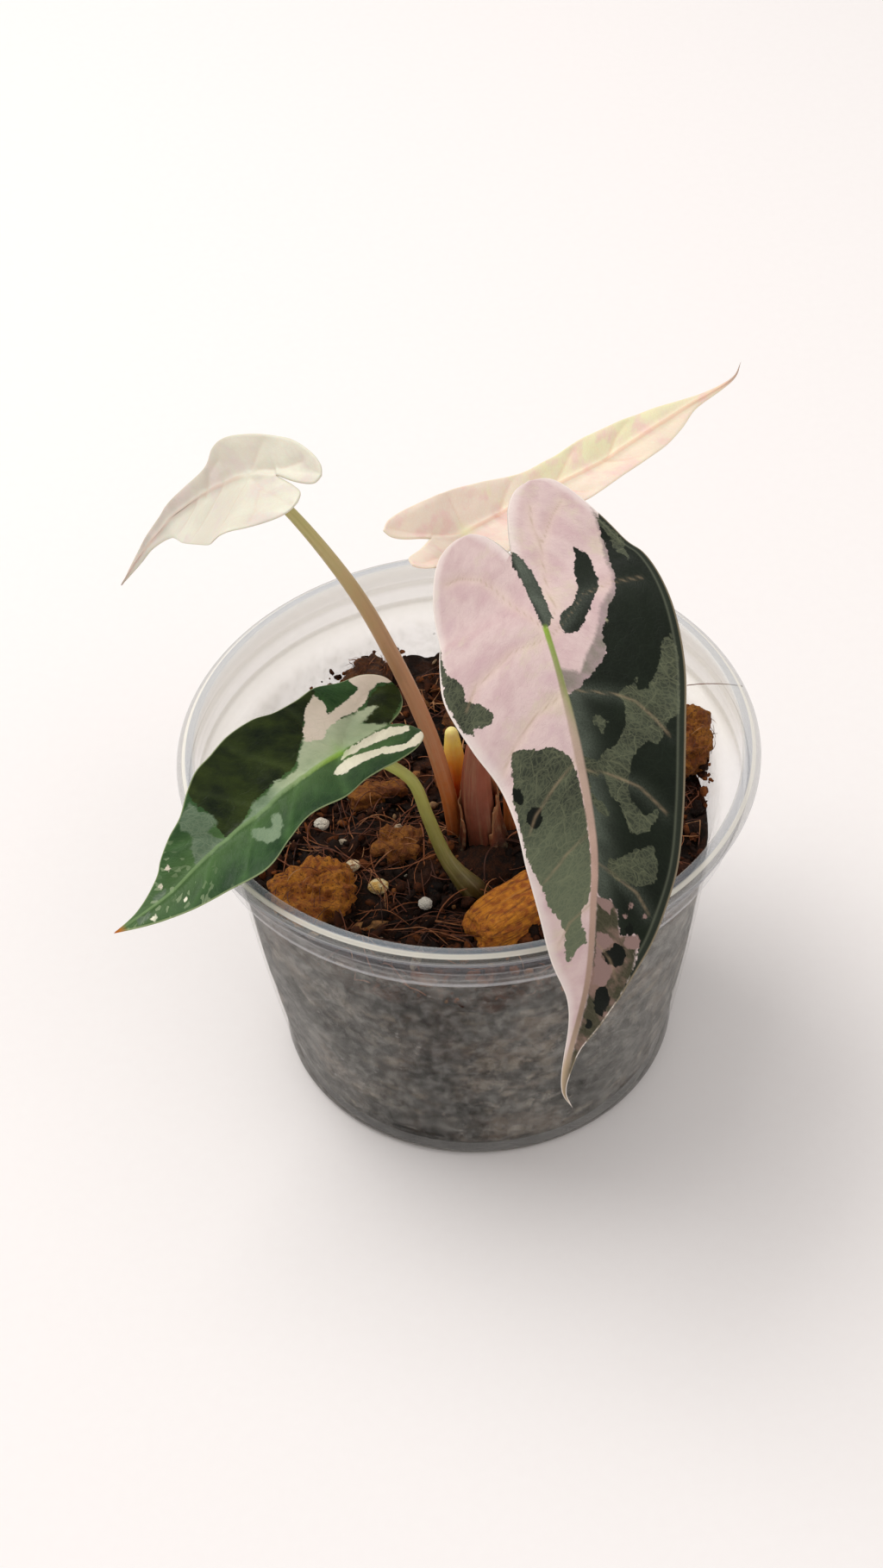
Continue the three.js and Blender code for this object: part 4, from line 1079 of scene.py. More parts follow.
def cup_finish():
    """Clear plastic from a mould, gone cloudy: see-through walls, milkier in the rim and at grazing
    angles, with scuffs, fine wipes, moulding ripples and specks of mix on the inside. The ring's
    haze and tone go by height, the lip's by the distance walked from its crest; both carry painted
    highlight lines and painted dark reflection bands. The walls are painted milkier towards the
    left and right as painted light, and the inner back wall above the mix gets a painted warm shade."""
    material, nodes, shader = new_finish("cup plastic")
    place = nodes.place()
    x, y, z = nodes.split("ShaderNodeSeparateXYZ", place)
    cloud = nodes.noise(place, 0.06, 4.0, 0.6)
    mottle = nodes.noise(place, 0.42, 5.0, 0.62)
    wipes = nodes.noise(nodes.stretch(place, (0.12, 0.12, 0.5)), 1.0, 4.0, 0.65, 0.6)
    hoops = nodes.noise(nodes.stretch(place, (0.01, 0.01, 0.9)), 1.0, 3.0, 0.5)
    inner, lip = nodes.value("inner"), nodes.value("lip")
    below_ring = nodes.band(z, STEP + 0.5, STEP - 3.0)

    # Ring bands by height: how strongly each shows and its grey. The haze is partly the ring's thicker
    # plastic; the bright bands are painted highlight lines and the dark ones painted dark reflection bands.
    levels = (0.0, 69.2, 70.3, 70.9, 71.7, 72.1, 74.8, 75.2, 75.8, 76.2, 79.0)
    amounts = (0.0, 0.02, 0.08, 0.34, 0.34, 0.1, 0.1, 0.3, 0.3, 0.2, 0.24)
    tones = (200, 200, 196, 226, 226, 150, 148, 216, 216, 152, 158)
    ring_haze_and_glints = nodes.ramp(z / CUP_HEIGHT, [
        [level / CUP_HEIGHT, (amount, amount, amount, 1.0)] for level, amount in zip(levels, amounts)
    ])
    ring_glint_and_shade_tone = nodes.tones(z / CUP_HEIGHT, [
        [level / CUP_HEIGHT, tone, tone, tone + 4] for level, tone in zip(levels, tones)
    ])
    # Lip bands by the distance walked from the crest: the bright line at the crest is a painted highlight,
    # and the grey and blue-grey bands are painted dark reflections.
    walks = (-4.0, -2.3, -2.0, -1.7, -1.0, -0.8, 0.0, 0.3, 1.4, 1.9, 3.5)
    lip_amounts = (0.0, 0.3, 0.42, 0.14, 0.14, 0.75, 0.7, 0.46, 0.46, 0.32, 0.0)
    lip_tones = (
        (166, 170, 180), (166, 170, 180), (206, 206, 202), (150, 150, 144), (150, 150, 144),
        (246, 242, 230), (246, 242, 230), (152, 162, 172), (170, 178, 186), (206, 206, 200),
        (216, 216, 210),
    )
    reach = 4.0
    walked = [(walk + reach) / (2 * reach) for walk in walks]
    at_walk = (lip + reach) / (2 * reach)
    lip_glint_alpha = nodes.ramp(at_walk, [
        [at, (amount, amount, amount, 1.0)] for at, amount in zip(walked, lip_amounts)
    ])
    lip_glint_tone = nodes.tones(at_walk, [[at, *tone] for at, tone in zip(walked, lip_tones)])

    haze = nodes.band(cloud, 0.35, 0.68, 0.02, 0.08)
    haze = haze + nodes.band(mottle, 0.42, 0.7, 0.0, 0.07)
    haze = haze + nodes.band(nodes.cells(place, 0.55), 0.12, 0.04, 0.0, 0.03)
    # Painted light: the wall is made milkier, and so lighter, towards the right and the left.
    haze = haze + nodes.band(x, 8.0, 44.0, 0.0, 0.1) + nodes.band(x, -14.0, -40.0, 0.0, 0.07)
    haze = haze * (below_ring * 0.82 + 0.18)
    haze = haze + nodes.between(inner, ring_haze_and_glints, ring_haze_and_glints * 0.3)
    # Painted shade: the inner back wall above the mix gets more haze and a warm beige-grey tone.
    painted_back_side = nodes.band(y, -6.0, 14.0)
    back_wall_shade = painted_back_side * nodes.band(z, 55.0, 60.0)
    haze = haze + back_wall_shade * inner * 0.16
    facing = nodes.out("ShaderNodeLayerWeight", {"Blend": 0.3}, "Facing")
    grazing = facing ** 3.0 * nodes.between(below_ring, 0.18, 0.1)
    specks = nodes.band(nodes.cells(place, 0.36), 0.17, 0.1) * inner
    specks = specks * nodes.band(nodes.noise(place, 0.1, 3.0), 0.5, 0.58)
    specks = specks * nodes.band(z, STEP, STEP - 6.0)
    foot = nodes.band(mottle * 1.6 + z, 3.4, 1.8)
    alpha = nodes.math("ADD", haze, grazing, clamp=True)
    for solid in (specks * 0.9, lip_glint_alpha, foot * 0.75):
        alpha = nodes.most(alpha, solid)

    color = nodes.layers(
        nodes.mix(nodes.band(mottle, 0.4, 0.62), srgb(196, 194, 188), srgb(230, 227, 219)),
        # Painted highlight lines and painted dark reflection bands on the ring.
        (nodes.band(z, STEP - 1.0, STEP + 0.6), ring_glint_and_shade_tone),
        # Painted warm shade on the back of the ring and on the inner back wall above the mix.
        (painted_back_side * nodes.band(z, STEP, STEP + 1.0) * 0.65, srgb(226, 219, 198)),
        (back_wall_shade, srgb(212, 204, 178)),
        (nodes.band(lip, -3.8, -2.6) * nodes.band(lip, 3.4, 2.2), lip_glint_tone),
        (specks, srgb(70, 44, 26)),
        (foot, srgb(92, 84, 74)),
    )
    smooth = nodes.band(wipes, 0.3, 0.75, 0.14, 0.26)
    set_finish(nodes, shader, color, smooth, hoops * 0.5 + wipes * 0.2, 0.16, 0.5, 0.7)
    nodes.feed(shader.inputs["Alpha"], alpha)
    return material


def floor_finish():
    """Plain pale floor with the faintest tooth."""
    material, nodes, shader = new_finish("floor")
    tooth = nodes.noise(nodes.place(), 0.4, 3.0)
    color = nodes.mix(tooth, srgb(250, 245, 244), srgb(252, 248, 247))
    set_finish(nodes, shader, color, nodes.band(tooth, 0.3, 0.7, 0.8, 0.9))
    return material


# Leaf blades

BLADE_ROWS = 208
LOBE_ROWS = 48
BLADE_COLUMNS = 44
BLADE_THICKNESS = 0.62
BLADE_EDGE = 0.7
QUILTING = 0.3
FLUTTER = 0.3
VEIN_RIDGE = 0.35
MIDRIB_RIDGE = 1.1
FLAT_MARGIN = 1.4


def blade_surface(leaf):
    """The blade as a function of (a, b): b across from the midrib point at a, raised along the
    blade's normal by the fold, which grows as |b| to the power 1.6, and by the edge wave."""
    spine = np.array(leaf["spine"], float)
    last = len(spine) - 1
    fine = np.linspace(0, last, 401)
    walked = run_lengths(spline(spine[:, :3], fine))
    stalk_length = np.interp(leaf["stalk_at"], fine, walked)
    face = np.array(leaf["facing"], float)
    wave_height, wave_length, wave_phase = leaf["wave"]

    def place(a, b, lift):
        walked_here = np.clip(a + stalk_length, 0, walked[-1])
        beyond = a + stalk_length - walked_here
        at = np.interp(walked_here, walked, fine)
        nudge = 0.5
        ahead = spline(spine[:, :3], np.minimum(at + nudge, last))
        tangent = unit(ahead - spline(spine[:, :3], np.maximum(at - nudge, 0)))
        normal = unit(face - (tangent @ face)[:, None] * tangent)
        across = np.cross(normal, tangent)
        fold = spline(spine[:, 3:], at)
        out = np.abs(b) / leaf["fold_width"]
        ripple = wave_height * out**2 * np.sin(2 * np.pi * a / wave_length + wave_phase + np.sign(b))
        height = np.where(b < 0, fold[:, 0], fold[:, 1]) * out**1.6 + ripple + lift
        middle = spline(spine[:, :3], at) + beyond[:, None] * tangent
        return middle + b[:, None] * across + height[:, None] * normal

    return place, walked[-1] - stalk_length


def blade(name, leaf, material, slot, patches):
    """A leaf blade. Each half is ruled from the notch and midrib out to its edge. The top is
    raised between the veins and sunk along them, the underside carries the midrib and the veins
    as ridges, and both close on one rounded edge."""
    place, tip = blade_surface(leaf)
    points, faces, values = [], [], []
    shares = np.sin(np.linspace(0, 1, BLADE_COLUMNS) * math.pi / 2) ** 1.15
    for notch, outline, flip in (
        (leaf["left_notch"], leaf["left"], True),
        (leaf["right_notch"], leaf["right"], False),
    ):
        mouth = notch[-1][0]
        rib = np.linspace(mouth, tip, BLADE_ROWS - LOBE_ROWS + 1)[1:]
        inner = np.vstack([even_steps(notch, LOBE_ROWS), np.stack([rib, 0 * rib], -1)])
        outer = even_steps([*outline[:-1], [tip, 0]], BLADE_ROWS)
        width = np.linalg.norm(outer - inner, axis=1)[:, None]
        at = inner[:, None] + (outer - inner)[:, None] * shares[:, None]
        a, b = at[..., 0].ravel(), at[..., 1].ravel()
        to_mouth = inner[:, :1] - mouth
        in_lobe = (np.arange(BLADE_ROWS + 1) <= LOBE_ROWS)[:, None]
        to_notch = np.where(in_lobe, shares * width, width)
        on_rib = np.maximum(0, np.minimum(to_mouth, tip - inner[:, :1]))
        edge = np.minimum((1 - shares) * width, np.maximum(to_notch, to_mouth))
        edge = np.where(shares > 0, edge, on_rib).ravel()
        outer_edge = np.repeat(width, BLADE_COLUMNS, 1) * (1 - shares)
        rim = np.where(in_lobe, np.minimum(outer_edge, shares * width), outer_edge).ravel()
        thin = np.sqrt(1 - (1 - np.minimum(1, edge / BLADE_EDGE)) ** 2)
        inland = 1 - hump(edge, FLAT_MARGIN)
        vein = line_distance(a, b, leaf["veins"])
        taper = ease(a, tip, 0.4 * tip)
        grain = rough(np.stack([a, b, 0 * a], -1), 5.0, 3, 5)
        quilt = QUILTING * (1 - hump(vein, 2.6)) + 0.12 * grain
        valley = -0.2 * hump(vein, 0.8) - 0.45 * hump(b, 2.4) + 0.3 * hump(b, 0.7)
        on_top = inland * (quilt + valley)
        ridge = VEIN_RIDGE * hump(vein, 0.6) * (0.3 + taper)
        ridge = ridge + MIDRIB_RIDGE * hump(b, 1.1) * (0.25 + taper)
        ridge *= ease(a, -14, 1)
        below = inland * (quilt - 0.2 * hump(vein, 0.9) - ridge)
        flutter = FLUTTER * rough(np.stack([a, 0 * a, 0 * a + flip], -1), 7.0, 2, 9)
        flutter = flutter * ease(rim, 5, 0) * ease(a, tip, tip - 20)
        for side, relief in ((1, on_top), (-1, below)):
            first = sum(len(p) for p in points)
            points.append(place(a, b, side * thin * BLADE_THICKNESS / 2 + relief + flutter))
            faces.append(grid_faces(BLADE_ROWS + 1, BLADE_COLUMNS, flip=flip != (side < 0), first=first))
            under = np.full(len(a), float(side < 0))
            values.append(np.stack([a, b, rim, vein, under]))
    values = np.concatenate(values, 1)
    named = dict(zip(("along", "across", "edge", "vein", "under"), values))
    for key, outlines in patches.items():
        named[key] = patch_distance(named["along"], named["across"], outlines)
    points, faces = np.concatenate(points), np.concatenate(faces)
    return make_piece(f"{name}_blade", points, faces, material, slot, [f"{name}_leaf_blade"], named)


# Stalks and shoot

STALK_RINGS = 150
STALK_SIDES = 28


def swept(rows, rings, sides, ribs, rib_depth):
    """A round stalk: rings around the curve through rows, with rounded ends and shallow ribs that
    run its length. Returns points, faces, the share of the length and the turn round it."""
    rows = np.array(rows, float)
    at = np.linspace(0, len(rows) - 1, rings)
    centre = spline(rows[:, :3], at)
    radius = spline(rows[:, 3:], at)[:, 0]
    tangent = unit(np.gradient(centre, axis=0))
    flat = np.linalg.svd(rows[:, :3] - rows[:, :3].mean(0))[2][-1]
    side = unit(np.cross(tangent, flat))
    other = np.cross(side, tangent)
    walked = run_lengths(centre)
    to_end = np.minimum(walked, walked[-1] - walked)
    radius = radius * np.sqrt(1 - (1 - np.minimum(1, to_end / radius)) ** 2)
    turn = np.linspace(0, 2 * math.pi, sides, endpoint=False)
    share = walked / walked[-1]
    ribbing = 1 + rib_depth * np.cos(ribs * turn) * (1 - 0.6 * share[:, None])
    ring = np.cos(turn)[:, None] * side[:, None] + np.sin(turn)[:, None] * other[:, None]
    points = centre[:, None] + ring * (radius[:, None] * ribbing)[..., None]
    shape = (rings, sides)
    return (
        points.reshape(-1, 3),
        grid_faces(rings, sides, wrap=True, flip=True),
        np.broadcast_to(share[:, None], shape).ravel(),
        np.broadcast_to(turn / (2 * math.pi), shape).ravel(),
    )


def seated_rows(rows, leaf):
    """A stalk's rows with the last one lowered under the blade that it runs into."""
    rows = np.array(rows, float)
    face = np.array(leaf["facing"], float)
    rows[-1, :3] += -face / np.linalg.norm(face) * rows[-1, 3] * 0.75
    return rows


def stalk(name, node, rows, material, slot, ribs, rib_depth):
    """A leaf stalk or the new shoot, with that many ribs, as deep as rib_depth of its radius."""
    points, faces, share, turn = swept(rows, STALK_RINGS, STALK_SIDES, ribs, rib_depth)
    return make_piece(name, points, faces, material, slot, [node], {"share": share, "turn": turn})


def sheath():
    """The dry sheath left standing round the front stalk's foot: a thin skin that follows the
    stalk, flares towards the mix, stands open at the front and ends above in a torn edge."""
    rows, columns = 40, 90
    first_turn, last_turn = -70, 215
    foot, lowest_top, shoulder_rise = 55, 61.5, 6.5
    half_skin = 0.17
    turn = np.radians(np.linspace(first_turn, last_turn, columns))
    around = np.concatenate([turn, turn[::-1]])
    edge = np.stack([np.cos(turn), np.sin(turn), 0 * turn], -1)
    tear = 1.6 * rough(edge * 9, 3.0, 3, 71) + 0.9 * np.abs(lattice_noise(edge * 9, 0.9, 72))
    shoulder = ease(np.linspace(0, 1, columns), 0, 0.2) * ease(np.linspace(1, 0, columns), 0, 0.25)
    top = lowest_top + shoulder_rise * shoulder + tear
    share = np.linspace(0, 1, rows)[:, None]
    height = foot + (np.concatenate([top, top[::-1]]) - foot) * share
    stalk_rows = np.array(STALKS["front"])
    middle_x = np.interp(height, stalk_rows[:, 2], stalk_rows[:, 0])
    middle_y = np.interp(height, stalk_rows[:, 2], stalk_rows[:, 1])
    flare = 3.55 + 1.7 * (1 - share) ** 2 + 0.5 * share**3
    ring = np.stack([4 * np.cos(around), 4 * np.sin(around), 0 * around], -1)
    folds = 0.22 * np.sin(around * 11) + 0.3 * rough(ring, 2.5, 2, 73)
    skin = half_skin * np.sqrt(np.clip(1 - (2 * share - 1) ** 8, 0, 1))
    side = np.concatenate([np.ones(columns), -np.ones(columns)])
    side[[0, columns - 1, columns, -1]] = 0
    radius = flare + folds + skin * side
    x, y = middle_x + radius * np.cos(around), middle_y + radius * np.sin(around)
    points = np.stack([x, y, height], -1)
    skin_tone = stalk_finish("dry sheath", [
        [0.1, 30, 15, 9], [0.4, 84, 42, 26], [0.75, 126, 68, 44], [1.0, 170, 122, 84],
    ], 1.6)
    values = {
        "share": (share + 0 * around).ravel(), "turn": (0 * share + around / (2 * math.pi)).ravel(),
    }
    faces = grid_faces(rows, 2 * columns, wrap=True, flip=True)
    return make_piece("sheath", points.reshape(-1, 3), faces, skin_tone, "red_stalk", (), values)


# Cup

CREST_RADIUS = 56.7
INNER_SHARE = 0.62
FAR_FROM_LIP = -90.0


def wall_profile():
    """The cup's turned section from the edge of its floor outside, over the rim and down inside,
    with its corners cut round twice."""
    outside = [
        [FOOT_RADIUS, 0], [FOOT_RADIUS + 1.5, 1.2], [42.9, 6], [46.5, 30], [50, 62],
        [50.8, STEP - 2], [52.6, STEP - 0.6], [54.9, STEP + 0.2], [RING_RADIUS - 0.7, STEP + 1.6],
        [RING_RADIUS - 0.3, STEP + 5], [RING_RADIUS + 0.6, STEP + 6], [RING_RADIUS - 0.2, STEP + 7],
        [RING_RADIUS, CUP_HEIGHT - 3], [RIM_RADIUS - 0.5, CUP_HEIGHT - 2.4],
        [RIM_RADIUS, CUP_HEIGHT - 1.6], [RIM_RADIUS - 0.5, CUP_HEIGHT - 0.9],
        [57.2, CUP_HEIGHT - 0.7], [CREST_RADIUS, CUP_HEIGHT],
    ]
    inside = [
        [55, CUP_HEIGHT], [54.6, CUP_HEIGHT - 0.8], [RING_RADIUS - WALL - 0.2, CUP_HEIGHT - 5],
        [RING_RADIUS - WALL - 0.8, STEP + 2], [54.1, STEP + 1.1], [52.1, STEP + 0.3],
        [50, STEP - 1.4], [50 - WALL, 62], [46.5 - WALL, 30], [42.9 - WALL, 6],
        [FOOT_RADIUS, FLOOR + 1.4], [FOOT_RADIUS - 1.4, FLOOR],
    ]
    line = np.array(outside + inside, float)
    for _ in range(2):
        cut = np.stack([0.8 * line[:-1] + 0.2 * line[1:], 0.2 * line[:-1] + 0.8 * line[1:]], 1)
        line = np.vstack([line[:1], cut.reshape(-1, 2)[1:-1], line[-1:]])
    return line


def inside_radius(z):
    """The cup's inner radius at height z, up to the foot of its ring."""
    heights = [FLOOR, FLOOR + 1.4, 6, 30, 62, STEP - 1.4, STEP + 0.3, STEP + 1.1, STEP + 2]
    radii = [FOOT_RADIUS - 1.4, FOOT_RADIUS, 42.9 - WALL, 46.5 - WALL, 50 - WALL, 50, 52.1, 54.1, 54.6]
    return np.interp(z, heights, radii)


def cup():
    """The cup: a turned wall, and a floor of five sectors, each ruled from its drain hole out to
    the sector's edge, above and below, with the hole's wall between."""
    profile = wall_profile()
    sides = 240
    start = 2 * math.pi * -0.25 / DRAIN_HOLES
    angles = start + np.linspace(0, 2 * math.pi, sides, endpoint=False)
    radius, height = profile.T
    round_about = np.stack([np.cos(angles), np.sin(angles)], -1)
    wall = np.empty((len(profile), sides, 3))
    wall[..., :2] = radius[:, None, None] * round_about
    wall[..., 2] = height[:, None]
    points = [wall.reshape(-1, 3)]
    faces = [grid_faces(len(profile), sides, wrap=True, flip=True)]
    inner = [np.repeat(np.arange(len(profile)) > len(profile) * INNER_SHARE, sides).astype(float)]
    run = run_lengths(profile)
    crest = run[np.argmin(np.hypot(radius - CREST_RADIUS, height - CUP_HEIGHT))]
    lip = [np.repeat(run - crest, sides)]
    per_sector = sides // DRAIN_HOLES
    spokes, columns = 24, 9
    for sector in range(DRAIN_HOLES):
        arc = start + 2 * math.pi * (sector * per_sector + np.arange(per_sector + 1)) / sides
        for level, reach, down in ((FLOOR, radius[-1], False), (0.0, radius[0], True)):
            out = np.linspace(0, reach, spokes)
            first_ray = np.stack([np.cos(arc[0]) * out, np.sin(arc[0]) * out], -1)
            last_ray = np.stack([np.cos(arc[-1]) * out, np.sin(arc[-1]) * out], -1)[::-1]
            rim = reach * np.stack([np.cos(arc), np.sin(arc)], -1)
            loop = np.vstack([first_ray[:-1], rim, last_ray[1:-1]])
            middle = (arc[0] + arc[-1]) / 2
            hole = DRAIN_CIRCLE * np.array([math.cos(middle), math.sin(middle)])
            ring = hole + DRAIN_RADIUS * unit(loop - hole)
            share = np.linspace(0, 1, columns)[:, None, None] ** 1.4
            patch = ring + (loop - ring) * share
            level_points = np.concatenate([patch, np.full((*patch.shape[:2], 1), level)], -1)
            first = sum(len(p) for p in points)
            points.append(level_points.reshape(-1, 3))
            faces.append(grid_faces(columns, len(loop), wrap=True, flip=down, first=first))
            inner.append(np.zeros(columns * len(loop)))
            lip.append(np.full(columns * len(loop), FAR_FROM_LIP))
            if down:
                hole_wall = np.stack([upper_ring, level_points[0]])
                first = sum(len(p) for p in points)
                points.append(hole_wall.reshape(-1, 3))
                faces.append(grid_faces(2, len(ring), wrap=True, flip=False, first=first))
                inner.append(np.zeros(2 * len(ring)))
                lip.append(np.full(2 * len(ring), FAR_FROM_LIP))
            else:
                upper_ring = np.column_stack([ring, np.full(len(ring), level)])
    return make_piece(
        "cup", np.concatenate(points), np.concatenate(faces), cup_finish(), "cup_plastic", ["pot"],
        {"inner": np.concatenate(inner), "lip": np.concatenate(lip)},
    )


# Potting mix

PIT_DEPTH = 1.4
CRUMBS = 2600
WALL_CRUMBS = 300
FIBRES = 620
FIBRE_STEPS = 12
FIBRE_SIDES = 4


def mix_height(x, y):
    """The mix's top: a shallow bowl, higher at the sides and back, with small humps."""
    out = np.hypot(x, y) / inside_radius(MIX_TOP)
    away = 0.5 + 0.5 * y / np.maximum(1, np.hypot(x, y))
    humps = np.sin(0.31 * x + 1) * np.sin(0.27 * y) + 0.6 * np.sin(0.55 * x - 0.4 * y + 2)
    return MIX_TOP + MIX_EDGE_RISE * ease(out, 0.45, 1) * (0.25 + 0.75 * away) + 0.7 * humps


def mix_bed():
    """The bed of mix: rings from the middle of its top out to the wall, down the wall and back
    under to the middle, pushed about by layered noise; at the wall the lumps press flat."""
    sides = 420
    top, wall, under = 120, 70, 14
    angles = np.linspace(0, 2 * math.pi, sides, endpoint=False)
    edge = inside_radius(MIX_TOP) - GAP
    radius = np.linspace(0, 1, top)[:, None] ** 0.8 * edge * np.ones(sides)
    x, y = radius * np.cos(angles), radius * np.sin(angles)
    z = mix_height(x, y)
    top_points = np.stack([x, y, z], -1)
    down = np.linspace(0, 1, wall + 1)[1:, None]
    wall_z = z[-1] + (FLOOR + GAP - z[-1]) * down
    wall_r = inside_radius(wall_z) - GAP
    wall_points = np.stack([wall_r * np.cos(angles), wall_r * np.sin(angles), wall_z], -1)
    shrink = np.linspace(1, 0, under + 1)[1:, None] * wall_r[-1]
    low = np.full((under, sides), FLOOR + GAP)
    under_points = np.stack([shrink * np.cos(angles), shrink * np.sin(angles), low], -1)
    points = np.concatenate([top_points, wall_points, under_points])
    rows = len(points)
    points = points.reshape(-1, 3)
    near_wall = ease(np.hypot(points[:, 0], points[:, 1]), 0.8 * edge, edge)
    bumps = (0.9 + 1.2 * near_wall) * rough(points, 5.0, 4, 21)
    bumps = bumps + 0.7 * np.abs(lattice_noise(points, 1.6, 40))
    row = np.repeat(np.arange(rows), sides)
    on_top = row < top
    points[:, 2] += np.where(on_top, bumps, 0)
    pits = np.clip(rough(points, 6.0, 2, 33), 0, 1)
    on_wall = (row >= top) & (row < top + wall - 2)
    far = np.maximum(1, np.hypot(points[:, 0], points[:, 1]))
    squeeze = np.where(on_wall, 1 - PIT_DEPTH * pits / far, 1)
    points[:, :2] *= squeeze[:, None]
    faces = grid_faces(rows, sides, wrap=True)
    return make_piece(
        "mix_bed", points, faces, mix_finish(), "potting_mix", ["potting_mix"],
        {"at_wall": (row >= top).astype(float)},
    )


def turned_about(vectors, turns):
    """Vectors turned by random rotations: turns holds unit quaternions w, x, y, z."""
    w, xyz = turns[:, :1, None], turns[:, None, 1:]
    crossed = np.cross(xyz, vectors)
    return vectors + 2 * (w * crossed + np.cross(xyz, crossed))


def ball(rows, columns):
    """A sphere's directions as rows from pole to pole, and its faces."""
    down = np.linspace(0, math.pi, rows)[:, None]
    turn = np.linspace(0, 2 * math.pi, columns, endpoint=False)
    directions = np.stack([
        np.sin(down) * np.cos(turn), np.sin(down) * np.sin(turn), np.cos(down) * np.ones(columns),
    ], -1)
    return directions.reshape(-1, 3), grid_faces(rows, columns, wrap=True)


def scattered(count, reach):
    """Random places over the mix, at even density out to the radius reach."""
    angle = rng.uniform(0, 2 * math.pi, count)
    out = reach * np.sqrt(rng.uniform(0, 1, count))
    return out * np.cos(angle), out * np.sin(angle)


def crumb_lumps(at, size, sliver, random):
    """Small uneven balls at the places given, each turned its own way; slivers are long and flat."""
    count, columns = len(size), 7
    directions, ball_faces = ball(5, columns)
    stretch = random.uniform(0.6, 1.2, (count, 1, 3))
    stretch = np.where(sliver[:, None, None], stretch * [2.6, 0.8, 0.4], stretch)
    stretch = stretch * size[:, None, None]
    uneven = 1 + random.uniform(-0.26, 0.26, (count, len(directions), 1))
    pole = len(directions) - columns
    uneven[:, :columns] = uneven[:, :1]
    uneven[:, pole:] = uneven[:, pole:pole + 1]
    tumbled = random.normal(size=(count, 4))
    lying = tumbled * [1, 0.25, 0.25, 1]
    turns = unit(np.where(sliver[:, None], lying, tumbled))
    points = turned_about(directions * uneven * stretch, turns) + at[:, None]
    starts = np.arange(count)[:, None, None] * len(directions)
    return points.reshape(-1, 3), (ball_faces + starts).reshape(-1, 3), len(directions)


def crumbs(material):
    """Loose crumbs lying on the mix: small uneven balls, turned and half sunk. One in three is a
    long flat sliver of bark."""
    count = CRUMBS
    x, y = scattered(count, inside_radius(MIX_TOP) - 1.6)
    size = 0.35 + 1.3 * rng.uniform(0, 1, count) ** 2.6
    z = mix_height(x, y) + 0.35 * size + 0.4
    at = np.stack([x, y, z], -1)
    points, faces, each = crumb_lumps(at, size, np.arange(count) % 3 == 0, rng)
    drift = 0.5 + 0.6 * lattice_noise(np.stack([x, y, 0 * x], -1), 8.0, 61)
    tone = np.clip(0.55 * rng.uniform(0, 1, count) ** 1.4 + 0.45 * drift, 0, 0.9)
    tone = np.where(rng.uniform(0, 1, count) > 0.975, rng.uniform(0.93, 1, count), tone)
    values = {"tone": np.repeat(tone, each)}
    return make_piece("mix_crumbs", points, faces, material, "potting_mix", (), values)


def wall_crumbs(material):
    """Crumbs stuck to the inside of the cup above the mix: a few clumps and a thin scatter. Each
    clump is a bearing and its spread in degrees, then a height and its spread."""
    random = np.random.default_rng(5)
    clumps = np.array([
        [117, 7, 62, 1.8], [150, 9, 59.6, 1.4], [12, 9, 64, 2.2], [80, 40, 59, 1.2], [0, 110, 58, 0.9],
    ])
    count = WALL_CRUMBS
    lowest, highest = 57, 68
    clump = clumps[random.integers(0, len(clumps), count)]
    angle = np.radians(random.normal(clump[:, 0], clump[:, 1]))
    height = np.clip(clump[:, 2] + clump[:, 3] * random.normal(0, 1, count), lowest, highest)
    size = 0.25 + 1.1 * random.uniform(0, 1, count) ** 2.4
    out = inside_radius(height) - 0.4 - 0.5 * size
    at = np.stack([out * np.cos(angle), out * np.sin(angle), height], -1)
    points, faces, each = crumb_lumps(at, size, np.zeros(count, bool), random)
    far = np.hypot(points[:, 0], points[:, 1])
    points[:, :2] *= np.minimum(1, (inside_radius(points[:, 2]) - GAP) / far)[:, None]
    tone = np.repeat(0.4 + 0.5 * random.uniform(0, 1, count), each)
    return make_piece("wall_crumbs", points, faces, material, "potting_mix", (), {"tone": tone})


def tubes(centre, radius, sides):
    """Thin tubes round many centre lines: centre holds lines x steps x 3, radius lines x steps."""
    count, steps = radius.shape
    tangent = unit(np.gradient(centre, axis=1))
    side = unit(np.cross(tangent, np.array([0.05, 0.03, 1.0])))
    other = np.cross(side, tangent)
    turn = np.arange(sides) * 2 * math.pi / sides
    ring = np.cos(turn)[:, None] * side[:, :, None] + np.sin(turn)[:, None] * other[:, :, None]
    points = centre[:, :, None] + ring * radius[..., None, None]
    tube = grid_faces(steps, sides, wrap=True, flip=True)
    faces = (tube + np.arange(count)[:, None, None] * steps * sides).reshape(-1, 3)
    return points.reshape(-1, 3), faces


